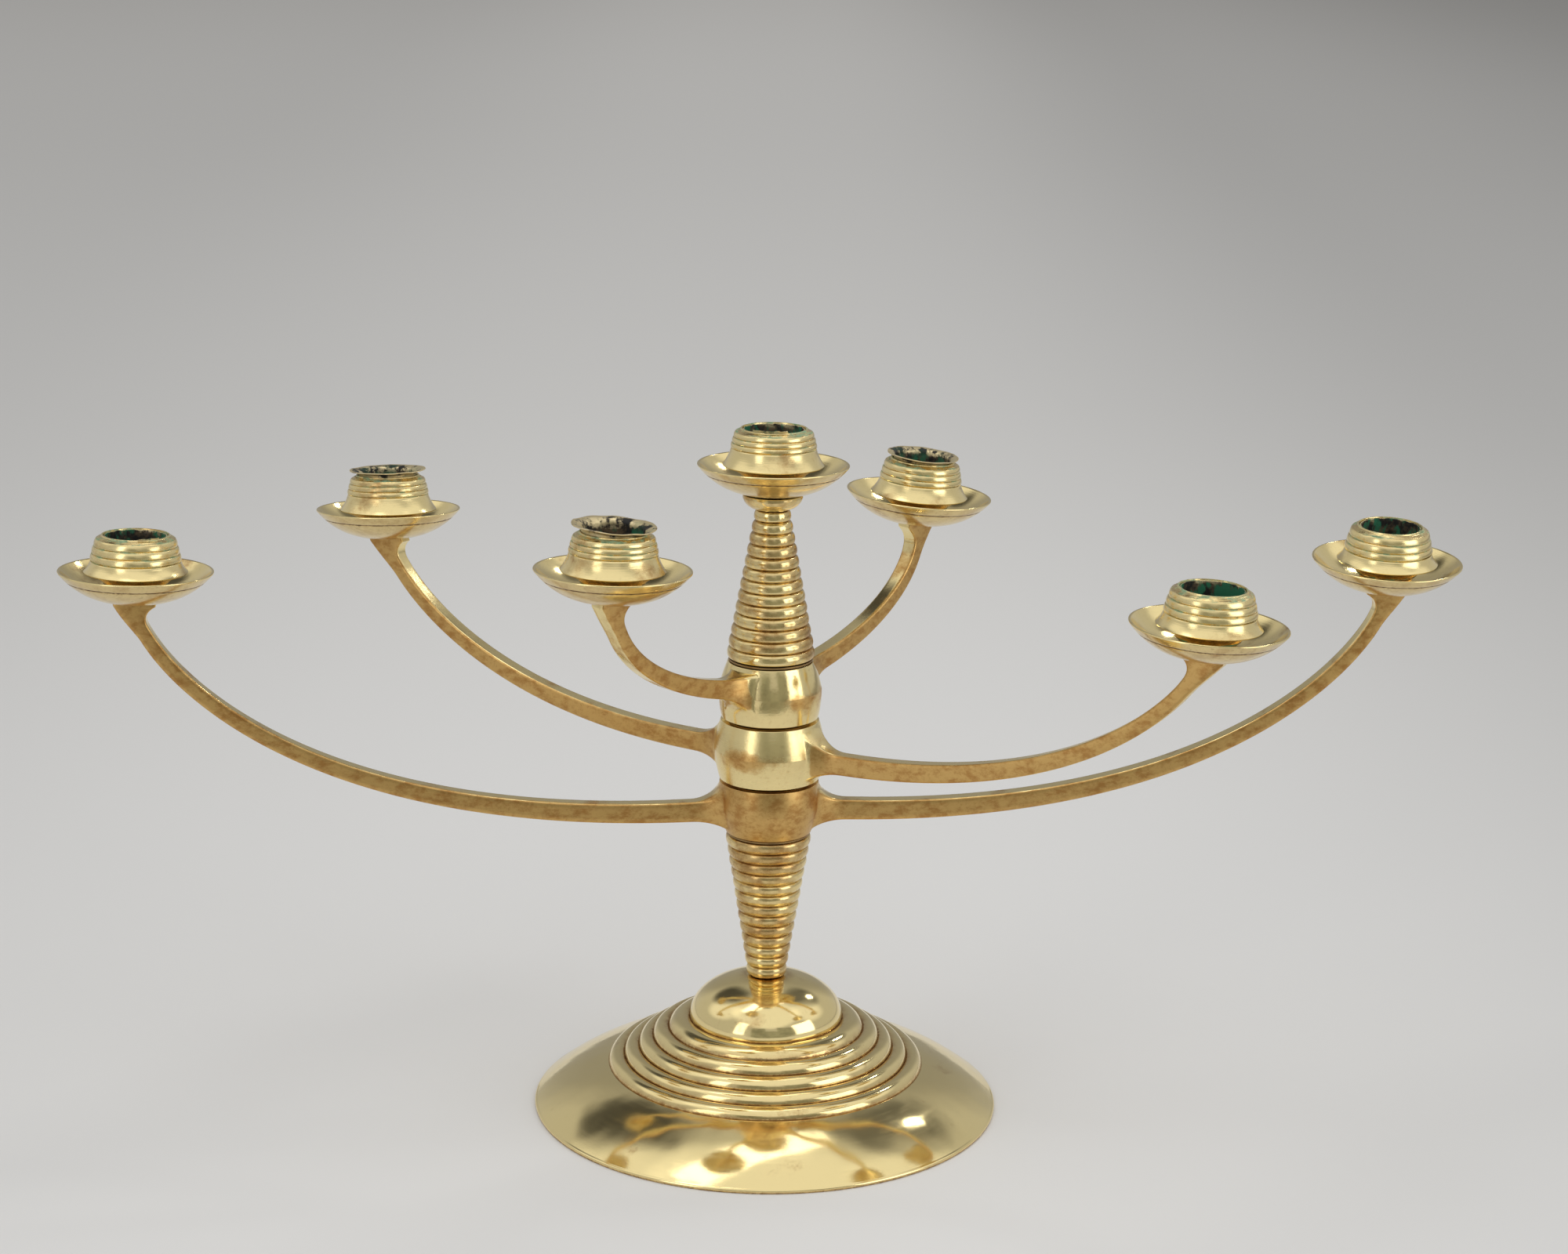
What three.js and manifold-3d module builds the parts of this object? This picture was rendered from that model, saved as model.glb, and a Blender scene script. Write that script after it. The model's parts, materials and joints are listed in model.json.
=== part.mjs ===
// Seven-light brass candelabrum. A ribbed foot carries a beaded stem, three hubs that turn on
// one central rod, each cast in one piece with a pair of curved arms, and a second beaded stem.
// Every light is a drip pan, a candle cup, the screw that holds both down, and a loose liner.
//
// Millimetres, +Z up. The origin is the centre of the foot's underside. +X is to the right and
// +Y is away from someone who faces the front.

import * as THREE from "three";
import { mergeVertices } from "three/addons/utils/BufferGeometryUtils.js";
import Module from "manifold-3d";

const wasm = await Module();
wasm.setup();

// Clearances and general thicknesses.
const GAP = 0.3; // between two faces that rest on each other, and round a rod or a screw

// The foot: a spun shell with a flange, five rounded ribs and a dome.
const FOOT = {
  rimRadius: 95,
  rimEdge: 1.6, // height of the rim's upright edge
  rimLand: 3.4, // width of the flat ring it stands on
  wall: 2.5,
  flangeCrown: 1.6, // how far the flange swells above a straight cone
  ribBulge: 2.1,
  domeRise: 1.2, // short upright part of the dome above the last groove
  seatHeight: 55.1,
  seatRadius: 8.6,
};
// Radius and height of each groove, from the flange inwards to the dome.
const FOOT_GROOVES = [
  [64.4, 17.7],
  [58.05, 21.1],
  [52, 24.7],
  [46.3, 29],
  [40, 32.9],
  [31.3, 36.7],
];

// The tie rod with its nut and washer, hidden inside.
const ROD = { radius: 3, belowNut: 2, depthInUpperStem: 16 };
const NUT = { acrossFlats: 10, height: 5 };
const FOOT_WASHER = { radius: 9, thickness: 1.5 };

// The two beaded stems.
const BEAD_DEPTH = 1.25;
const LOWER_STEM = { beads: 13, beadHeight: 4.685, bottomRadius: 8.1, topRadius: 17.2 };
const UPPER_STEM = { beads: 13, beadHeight: 4.685, bottomRadius: 17.8, topRadius: 7.6 };
const COLLAR = { height: 5.8, neckRadius: 7, topRadius: 12 };

// The thin washers that the hubs turn on.
const HUB_WASHER = { radius: 15.5, thickness: 0.8 };

// Candle lights. The liner is sized by the candle, and the cup by the liner.
const PAN = { rimRadius: 30.25, height: 11.8, seatRadius: 12, wall: 1.2, belly: 1.9 };
const CUP = {
  footRadius: 10,
  floor: 2.5,
  lip: 0.6, // wall at the mouth
  shoulderHeight: 1.5, // the slope between the mouth and the top ridge
  shoulderSpread: 2,
  ridges: 3,
  ridgeHeight: 3,
  ridgeDepth: 0.6,
  ridgeTaper: 1.8, // how much the grooves widen from the shoulder down to the skirt
  skirtFlare: 3.3,
  skirtHeight: 4.6,
  skirtEdge: 0.6, // height of the skirt's upright edge
  skirtBelowPanRim: 0.7,
};
const LINER = { candleRadius: 11.7, wall: 0.5, belowMouth: 0.6 };
const FLARE = { overhang: 2.4, aboveMouth: 1.8, neckAboveMouth: 0.5 };
const SCREW = { shankRadius: 1.6, headRadius: 4, headHeight: 2.2, depthInSeat: 7 };

// The arms' bar section and the fan-shaped seat at each end.
const BAR = { width: 6.5, rootThickness: 8.7, tipThickness: 5.6 };
const FAN = { width: 16.6, length: 12 };
const HUB_CROWN = 0.25; // how far the barrel swells beyond straight cones
const HUB_FILLET = { length: 15, overlap: 3, margin: 0.8, spread: 3 };

// The three pairs of arms, from the bottom up, with the direction of each right-hand arm in
// degrees. Heights are above the underside of the pair's hub: an arm's centre line starts on the
// axis at startHeight and ends at the middle of its seat, reach out and rise up. sag and bend place
// the two inner control points of its curve.
const ARM_PAIRS = [
  {
    level: "lower",
    direction: 5.5,
    reach: 249.8,
    rise: 98.3,
    hub: { height: 21.2, bottomRadius: 17.4, bellyRadius: 20.4, topRadius: 20 },
    startHeight: 10.4,
    sag: { reach: 202.8, below: 18 },
    bend: { inFromReach: -5.7, belowSeat: 11 },
  },
  {
    level: "middle",
    direction: -28.4,
    reach: 184.7,
    rise: 76.5,
    hub: { height: 24.3, bottomRadius: 20.2, bellyRadius: 22.4, topRadius: 19.8 },
    startHeight: 11.2,
    sag: { reach: 133.1, below: 9.5 },
    bend: { inFromReach: 4.3, belowSeat: 17.4 },
  },
  {
    level: "upper",
    direction: 49.6,
    reach: 92.6,
    rise: 64.6,
    hub: { height: 22.9, bottomRadius: 19.6, bellyRadius: 20.7, topRadius: 17.2 },
    startHeight: 13.5,
    sag: { reach: 36.8, below: -0.8 },
    bend: { inFromReach: -1.2, belowSeat: 33.7 },
  },
];

// Lights whose liner has a flared rim. The other liners end inside the cup's mouth.
const FLARED = ["middle_left", "upper_left", "upper_right"];

// Facets round a circle.
const FACETS = { foot: 32, stem: 14, hub: 20, pan: 18, cup: 14, liner: 14, small: 10 };

const POLISHED = { color: 0xc8a24a, roughness: 0.18, metalness: 1 };
const PATINATED = { color: 0xa77c3c, roughness: 0.38, metalness: 1 };
const LINER_METAL = { color: 0x6f5532, roughness: 0.5, metalness: 1 };
const STEEL = { color: 0x8d8f92, roughness: 0.35, metalness: 1 };

const root = new THREE.Group();

// ---- Helpers -------------------------------------------------------------------------------

// A frame at a height on the axis, or out along a direction in degrees.
function frameAt(height, direction = 0, reach = 0) {
  const turn = new THREE.Group();
  turn.rotation.z = THREE.MathUtils.degToRad(direction);
  const frame = new THREE.Group();
  frame.position.set(reach, 0, height);
  turn.add(frame);
  root.add(turn);
  return frame;
}

function addPiece(frame, name, geometry, metal, height = 0) {
  const mesh = new THREE.Mesh(geometry, new THREE.MeshStandardMaterial(metal));
  mesh.name = name;
  mesh.position.z = height;
  frame.add(mesh);
}

// Turns an outline of [radius, height] points round the Z axis. Its outside runs upwards.
function turned(outline, facets) {
  const points = outline.map(([radius, height]) => new THREE.Vector2(radius, height));
  return new THREE.LatheGeometry(points, facets).rotateX(Math.PI / 2);
}

// A solid cylinder that stands on z = 0.
function disc(radius, height, facets) {
  return new THREE.CylinderGeometry(radius, radius, height, facets)
    .rotateX(Math.PI / 2)
    .translate(0, 0, height / 2);
}

// A flat ring that lies on z = 0.
function ring(innerRadius, outerRadius, height, facets) {
  const base = [innerRadius, 0];
  return turned([base, [outerRadius, 0], [outerRadius, height], [innerRadius, height], base], facets);
}

// Points from start to just before end, on a line that swells outwards between them.
function swollen([r0, z0], [r1, z1], swell, steps) {
  const length = Math.hypot(r1 - r0, z1 - z0);
  return Array.from({ length: steps }, (_, i) => {
    const t = i / steps;
    const rise = (4 * swell * t * (1 - t)) / length;
    return [r0 + t * (r1 - r0) + rise * (z1 - z0), z0 + t * (z1 - z0) - rise * (r1 - r0)];
  });
}

// The outline moved inwards by the wall, square to the line between each point's neighbours.
function inset(outline, wall) {
  return outline.map(([r, z], i) => {
    const [r0, z0] = outline[Math.max(i - 1, 0)];
    const [r1, z1] = outline[Math.min(i + 1, outline.length - 1)];
    const length = Math.hypot(r1 - r0, z1 - z0);
    return [r - (wall * (z1 - z0)) / length, z + (wall * (r1 - r0)) / length];
  });
}

// A quarter of an ellipse from its widest point up to the radius topRadius.
function domeArc(radius, baseHeight, topRadius, topHeight, steps) {
  const lastAngle = Math.acos(topRadius / radius);
  const rise = (topHeight - baseHeight) / Math.sin(lastAngle);
  return Array.from({ length: steps + 1 }, (_, i) => {
    const angle = (lastAngle * i) / steps;
    return [radius * Math.cos(angle), baseHeight + rise * Math.sin(angle)];
  });
}

function toSolid(geometry) {
  const bare = geometry.clone();
  bare.deleteAttribute("normal");
  bare.deleteAttribute("uv");
  const merged = mergeVertices(bare);
  const vertProperties = merged.attributes.position.array;
  const triVerts = new Uint32Array(merged.index.array);
  return new wasm.Manifold(new wasm.Mesh({ numProp: 3, vertProperties, triVerts }));
}

function toGeometry(solid) {
  const mesh = solid.getMesh();
  const geometry = new THREE.BufferGeometry();
  geometry.setAttribute("position", new THREE.BufferAttribute(mesh.vertProperties, 3));
  geometry.setIndex(new THREE.BufferAttribute(mesh.triVerts, 1));
  geometry.computeVertexNormals();
  return geometry;
}

// ---- The stack on the axis, from the foot up ---------------------------------------------------

const washerSpace = HUB_WASHER.thickness + 2 * GAP;
const lowerStemHeight = LOWER_STEM.beads * LOWER_STEM.beadHeight;
const upperBeadsHeight = UPPER_STEM.beads * UPPER_STEM.beadHeight;
const upperStemHeight = upperBeadsHeight + COLLAR.height;
const lowerStemBase = FOOT.seatHeight + GAP;
const washerBases = [lowerStemBase + lowerStemHeight + GAP];
const hubBases = ARM_PAIRS.map((pair, i) => {
  const base = washerBases[i] - GAP + washerSpace;
  washerBases.push(base + pair.hub.height + GAP);
  return base;
});
const upperStemBase = washerBases.at(-1) - GAP + washerSpace;
const rodHole = ROD.radius + GAP;
const screwHole = SCREW.shankRadius + GAP;

// ---- Foot, tie rod, nut and washers ------------------------------------------------------------

function footGeometry() {
  const rim = [FOOT.rimRadius, FOOT.rimEdge];
  const corners = [rim, ...FOOT_GROOVES];
  const outside = corners
    .slice(1)
    .flatMap((corner, i) => swollen(corners[i], corner, i ? FOOT.ribBulge : FOOT.flangeCrown, 3));
  const [domeRadius, domeFoot] = corners.at(-1);
  const domeBase = domeFoot + FOOT.domeRise;
  const ceiling = FOOT.seatHeight - FOOT.wall;
  const ceilingRadius = FOOT_WASHER.radius + 3;
  const domeInside = domeArc(domeRadius - FOOT.wall, domeBase, ceilingRadius, ceiling, 3);
  const underside = inset(corners, FOOT.wall).slice(1, -1);
  const start = [FOOT.rimRadius - FOOT.rimLand, 0];
  const outline = [
    start,
    [FOOT.rimRadius, 0],
    ...outside,
    corners.at(-1),
    ...domeArc(domeRadius, domeBase, FOOT.seatRadius, FOOT.seatHeight, 6),
    [rodHole, FOOT.seatHeight],
    [rodHole, ceiling],
    ...domeInside.reverse(),
    ...underside.reverse(),
    start,
  ];
  return turned(outline, FACETS.foot);
}

function nutGeometry() {
  const cornerRadius = NUT.acrossFlats / Math.sqrt(3);
  const hexagon = new THREE.Shape();
  for (let i = 0; i < 6; i++) {
    const angle = (i * Math.PI) / 3;
    const corner = [cornerRadius * Math.cos(angle), cornerRadius * Math.sin(angle)];
    if (i === 0) hexagon.moveTo(...corner);
    else hexagon.lineTo(...corner);
  }
  hexagon.holes.push(new THREE.Path().absarc(0, 0, rodHole, 0, 2 * Math.PI));
  return new THREE.ExtrudeGeometry(hexagon, {
    depth: NUT.height,
    bevelEnabled: false,
    curveSegments: FACETS.small,
  });
}

function addFootAndRod() {
  const axis = frameAt(0);
  const washerBase = FOOT.seatHeight - FOOT.wall - GAP - FOOT_WASHER.thickness;
  const nutBase = washerBase - GAP - NUT.height;
  const rodBase = nutBase - ROD.belowNut;
  const rodLength = upperStemBase + ROD.depthInUpperStem - rodBase;
  addPiece(axis, "foot", footGeometry(), POLISHED);
  const washer = ring(rodHole, FOOT_WASHER.radius, FOOT_WASHER.thickness, FACETS.small);
  addPiece(axis, "foot_washer", washer, STEEL, washerBase);
  addPiece(axis, "rod_nut", nutGeometry(), STEEL, nutBase);
  addPiece(axis, "tie_rod", disc(ROD.radius, rodLength, FACETS.small), STEEL, rodBase);
}

// ---- Stems and hub washers ---------------------------------------------------------------------

// The outside of a stack of beads that stands on z = 0, without its last point.
function beadOutline({ beads, beadHeight, bottomRadius, topRadius }) {
  const taper = (topRadius - bottomRadius) / (beads - 1);
  return Array.from({ length: beads }, (_, i) => {
    const crest = bottomRadius + taper * i;
    const valley = crest - BEAD_DEPTH - (i === 0 ? 0 : taper / 2);
    const base = beadHeight * i;
    return [
      [valley, base],
      [crest, base + 0.3 * beadHeight],
      [crest, base + 0.7 * beadHeight],
    ];
  }).flat();
}

function addStems() {
  const lowerTop = LOWER_STEM.topRadius - BEAD_DEPTH;
  const lowerOutline = [
    [rodHole, 0],
    ...beadOutline(LOWER_STEM),
    [lowerTop, lowerStemHeight],
    [rodHole, lowerStemHeight],
    [rodHole, 0],
  ];
  const rodHoleTop = ROD.depthInUpperStem + GAP;
  const screwHoleFloor = upperStemHeight - SCREW.depthInSeat - GAP;
  const upperOutline = [
    [0, rodHoleTop],
    [rodHole, rodHoleTop],
    [rodHole, 0],
    ...beadOutline(UPPER_STEM),
    ...swollen([COLLAR.neckRadius, upperBeadsHeight], [COLLAR.topRadius, upperStemHeight], 1, 3),
    [COLLAR.topRadius, upperStemHeight],
    [screwHole, upperStemHeight],
    [screwHole, screwHoleFloor],
    [0, screwHoleFloor],
  ];
  const axis = frameAt(0);
  addPiece(axis, "lower_stem", turned(lowerOutline, FACETS.stem), POLISHED, lowerStemBase);
  addPiece(axis, "upper_stem", turned(upperOutline, FACETS.stem), POLISHED, upperStemBase);
  washerBases.forEach((base, i) => {
    const washer = ring(rodHole, HUB_WASHER.radius, HUB_WASHER.thickness, FACETS.hub);
    addPiece(axis, "hub_washer_" + (i + 1), washer, PATINATED, base);
  });
}

// ---- Arm pairs -----------------------------------------------------------------------------------

function hubGeometry({ height, bottomRadius, bellyRadius, topRadius }) {
  const middle = [bellyRadius, height / 2];
  return turned(
    [
      [0, 0],
      ...swollen([bottomRadius, 0], middle, HUB_CROWN, 2),
      ...swollen(middle, [topRadius, height], HUB_CROWN, 2),
      [topRadius, height],
      [0, height],
    ],
    FACETS.hub,
  );
}

// How far the arm's top and bottom edges stand off its centre line, at a station on the curve.
function edgeOffsets(pair, point) {
  const share = point.x / pair.reach;
  const half = THREE.MathUtils.lerp(BAR.rootThickness, BAR.tipThickness, share) / 2;
  const reachOfFillet = pair.hub.bellyRadius - HUB_FILLET.overlap;
  const near = THREE.MathUtils.clamp(1 - (point.x - reachOfFillet) / HUB_FILLET.length, 0, 1);
  const blend = 1 - Math.sqrt(1 - near * near);
  const top = half + blend * (pair.hub.height - HUB_FILLET.margin - point.y - half);
  const bottom = half + blend * (point.y - HUB_FILLET.margin - half);
  const end = Math.max(1 - (pair.rise - point.y) / FAN.length, 0);
  const spread = (FAN.width / 2 - half) * end ** 1.5;
  return { top: top + spread, bottom: bottom + spread, end };
}

function armCurve({ reach, rise, startHeight, sag, bend }) {
  return new THREE.CubicBezierCurve(
    new THREE.Vector2(0, startHeight),
    new THREE.Vector2(sag.reach, startHeight - sag.below),
    new THREE.Vector2(reach - bend.inFromReach, rise - bend.belowSeat),
    new THREE.Vector2(reach, rise),
  );
}

// The side view of one arm, from inside the hub to its seat. Heights are from the hub's underside.
function armShape(pair) {
  const curve = armCurve(pair);
  const start = (rodHole + 3) / curve.getLength();
  const stations = Math.round(10 + pair.reach / 16);
  const upperEdge = [];
  const lowerEdge = [];
  for (let i = 0; i <= stations; i++) {
    const u = start + (1 - start) * (i / stations) ** 0.85;
    const point = curve.getPointAt(u);
    const tangent = curve.getTangentAt(u);
    const { top, bottom, end } = edgeOffsets(pair, point);
    const level = new THREE.Vector2(-1, 0);
    const side = new THREE.Vector2(-tangent.y, tangent.x).lerp(level, end).normalize();
    upperEdge.push(point.clone().addScaledVector(side, top));
    lowerEdge.push(point.clone().addScaledVector(side, -bottom));
  }
  return new THREE.Shape([...lowerEdge, ...upperEdge.reverse()]);
}

// The wedge on each flank of an arm's root, as seen from above.
function rootShape({ hub }, outer) {
  const inner = hub.bellyRadius * 0.6;
  const half = BAR.width / 2;
  const spread = HUB_FILLET.spread;
  return new THREE.Shape([
    new THREE.Vector2(inner, -half - spread),
    new THREE.Vector2(outer, -half),
    new THREE.Vector2(outer, half),
    new THREE.Vector2(inner, half + spread),
  ]);
}

function armSolid(pair) {
  const bar = new THREE.ExtrudeGeometry(armShape(pair), { depth: BAR.width, bevelEnabled: false })
    .translate(0, 0, -BAR.width / 2)
    .rotateX(Math.PI / 2);
  const wedgeReach = pair.hub.bellyRadius + HUB_FILLET.length - HUB_FILLET.overlap;
  const wedgeHeight = BAR.tipThickness;
  const curve = armCurve(pair);
  const middle = curve.getPointAt(wedgeReach / curve.getLength()).y;
  const wedge = new THREE.ExtrudeGeometry(rootShape(pair, wedgeReach), {
    depth: wedgeHeight,
    bevelEnabled: false,
  }).translate(0, 0, middle - wedgeHeight / 2);
  const holeDepth = SCREW.depthInSeat + GAP;
  const hole = disc(screwHole, holeDepth + 1, FACETS.small);
  hole.translate(pair.reach, 0, pair.rise - holeDepth);
  return toSolid(bar).add(toSolid(wedge)).subtract(toSolid(hole));
}

function addArmPair(pair, hubBase) {
  const arm = armSolid(pair);
  const boreLength = pair.hub.height + 2;
  const bore = disc(rodHole, boreLength, FACETS.small).translate(0, 0, -1);
  const casting = toSolid(hubGeometry(pair.hub))
    .add(arm)
    .add(arm.rotate([0, 0, 180]))
    .subtract(toSolid(bore));
  const frame = frameAt(hubBase, pair.direction);
  addPiece(frame, pair.level + "_arms", toGeometry(casting), PATINATED);
}

// ---- Lights ------------------------------------------------------------------------------------

const skirtEdgeHeight = PAN.height - PAN.wall - GAP - CUP.skirtBelowPanRim;
const skirtTopHeight = skirtEdgeHeight + CUP.skirtHeight;
const cupHeight = skirtTopHeight + CUP.ridges * CUP.ridgeHeight + CUP.shoulderHeight;
const linerBase = CUP.floor + GAP + SCREW.headHeight + GAP;
const linerRadius = LINER.candleRadius + LINER.wall;
const cupBore = linerRadius + GAP;
const mouthRadius = cupBore + CUP.lip;
const skirtTopRadius = mouthRadius + CUP.shoulderSpread + CUP.ridgeTaper;
const skirtRadius = skirtTopRadius + CUP.skirtFlare;

function panGeometry() {
  const rim = [PAN.rimRadius, PAN.height];
  const innerRim = [PAN.rimRadius - PAN.wall, PAN.height];
  const start = [screwHole, 0];
  const outline = [
    start,
    ...swollen([PAN.seatRadius, 0], rim, PAN.belly, 3),
    rim,
    ...swollen(innerRim, [PAN.seatRadius, PAN.wall], -PAN.belly, 3),
    [PAN.seatRadius, PAN.wall],
    [screwHole, PAN.wall],
    start,
  ];
  return turned(outline, FACETS.pan);
}

function cupGeometry() {
  const ridges = Array.from({ length: CUP.ridges }, (_, i) => {
    const groove = skirtTopRadius - (CUP.ridgeTaper * i) / CUP.ridges;
    const base = skirtTopHeight + CUP.ridgeHeight * i;
    return [
      [groove, base],
      [groove + CUP.ridgeDepth, base + CUP.ridgeHeight / 2],
    ];
  });
  const start = [screwHole, 0];
  const outline = [
    start,
    [CUP.footRadius, 0],
    [skirtRadius, skirtEdgeHeight],
    [skirtRadius, skirtEdgeHeight + CUP.skirtEdge],
    ...ridges.flat(),
    [mouthRadius + CUP.shoulderSpread, cupHeight - CUP.shoulderHeight],
    [mouthRadius, cupHeight],
    [cupBore, cupHeight],
    [cupBore, linerBase - GAP],
    [CUP.footRadius - 0.5, CUP.floor],
    [screwHole, CUP.floor],
    start,
  ];
  return turned(outline, FACETS.cup);
}

function linerGeometry(flared) {
  const mouth = cupHeight - linerBase;
  const flareRadius = mouthRadius + FLARE.overhang;
  const neck = mouth + FLARE.neckAboveMouth;
  const plainTop = mouth - LINER.belowMouth;
  const rim = flared
    ? [
        [linerRadius, neck],
        [flareRadius, mouth + FLARE.aboveMouth - LINER.wall],
        [flareRadius, mouth + FLARE.aboveMouth],
        [LINER.candleRadius, neck + LINER.wall],
      ]
    : [
        [linerRadius, plainTop],
        [LINER.candleRadius, plainTop],
      ];
  const outline = [[0, 0], [linerRadius, 0], ...rim, [LINER.candleRadius, LINER.wall], [0, LINER.wall]];
  return turned(outline, FACETS.liner);
}

function screwGeometry() {
  const underHead = SCREW.depthInSeat + GAP + PAN.wall + GAP + CUP.floor + GAP;
  const top = underHead + SCREW.headHeight;
  const outline = [
    [0, 0],
    [SCREW.shankRadius, 0],
    [SCREW.shankRadius, underHead],
    [SCREW.headRadius, underHead],
    [SCREW.headRadius, top - SCREW.headHeight / 3],
    [SCREW.headRadius / 2, top],
    [0, top],
  ];
  return turned(outline, FACETS.small);
}

// One light on the seat whose flat top is at the frame's origin.
function addLight(place, frame) {
  const flared = FLARED.includes(place);
  const cupBase = GAP + PAN.wall + GAP;
  addPiece(frame, "drip_pan_" + place, panGeometry(), POLISHED, GAP);
  addPiece(frame, "candle_cup_" + place, cupGeometry(), POLISHED, cupBase);
  addPiece(frame, "cup_screw_" + place, screwGeometry(), STEEL, -SCREW.depthInSeat);
  addPiece(frame, "liner_" + place, linerGeometry(flared), LINER_METAL, cupBase + linerBase);
}

// ---- The whole candelabrum ---------------------------------------------------------------------

addFootAndRod();
addStems();
addLight("centre", frameAt(upperStemBase + upperStemHeight));
ARM_PAIRS.forEach((pair, i) => {
  const seatHeight = hubBases[i] + pair.rise;
  addArmPair(pair, hubBases[i]);
  addLight(pair.level + "_right", frameAt(seatHeight, pair.direction, pair.reach));
  addLight(pair.level + "_left", frameAt(seatHeight, pair.direction + 180, pair.reach));
});

export default root;
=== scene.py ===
"""Seven-light brass candelabrum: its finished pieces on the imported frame, in a plain studio.

Sizes in the classes are millimetres, unless a name says otherwise. Everything that is handed to
the scene is in metres. +Z is up, and someone who faces the front looks along +Y.
"""

import json
import logging
import math
import random
from collections.abc import Sequence
from dataclasses import dataclass, field
from enum import Enum
from itertools import pairwise

import bmesh
import bpy
from bmesh.types import BMesh, BMEdge, BMVert
from mathutils import Matrix, Vector, noise


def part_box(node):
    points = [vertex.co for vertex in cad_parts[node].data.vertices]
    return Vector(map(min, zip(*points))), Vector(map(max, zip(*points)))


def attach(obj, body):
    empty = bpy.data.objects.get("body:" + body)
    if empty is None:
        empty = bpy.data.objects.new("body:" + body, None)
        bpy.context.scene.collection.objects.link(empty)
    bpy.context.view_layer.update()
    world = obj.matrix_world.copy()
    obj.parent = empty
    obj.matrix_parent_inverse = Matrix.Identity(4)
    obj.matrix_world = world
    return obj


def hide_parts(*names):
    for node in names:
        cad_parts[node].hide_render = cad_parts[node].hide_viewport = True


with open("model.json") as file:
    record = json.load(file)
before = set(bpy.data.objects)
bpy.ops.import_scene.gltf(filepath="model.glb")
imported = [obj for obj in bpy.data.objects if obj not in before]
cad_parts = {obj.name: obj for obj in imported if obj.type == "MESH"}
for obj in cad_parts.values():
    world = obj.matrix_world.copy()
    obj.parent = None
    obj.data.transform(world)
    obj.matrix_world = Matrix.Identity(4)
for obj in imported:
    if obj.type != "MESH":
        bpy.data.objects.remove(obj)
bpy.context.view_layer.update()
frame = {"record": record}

log = logging.getLogger("candelabrum")

MM = 0.001
SPIN_WELD = 2e-6  # metres between points that a spin makes one
FUSE_WELD = 1e-6  # the same after two meshes are fused
Colour = tuple[float, float, float]
Span = tuple[float, float]
Point = tuple[float, float]
BODY_OF = {
    node: body
    for body, nodes in frame["record"]["behaviour"]["bodies"].items()
    for node in nodes
}


class Mark(Enum):
    """The named values that a mesh carries from its shape to its finish."""

    TURNING = "turning"
    HOLLOW = "hollow"
    GREEN = "green"
    FLANK = "flank"
    BOSS = "boss"


class Fusion(Enum):
    """Ways to put two closed meshes together."""

    JOIN = "UNION"
    CUT = "DIFFERENCE"


# ---- Material building ----------------------------------------------------------------------


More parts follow.
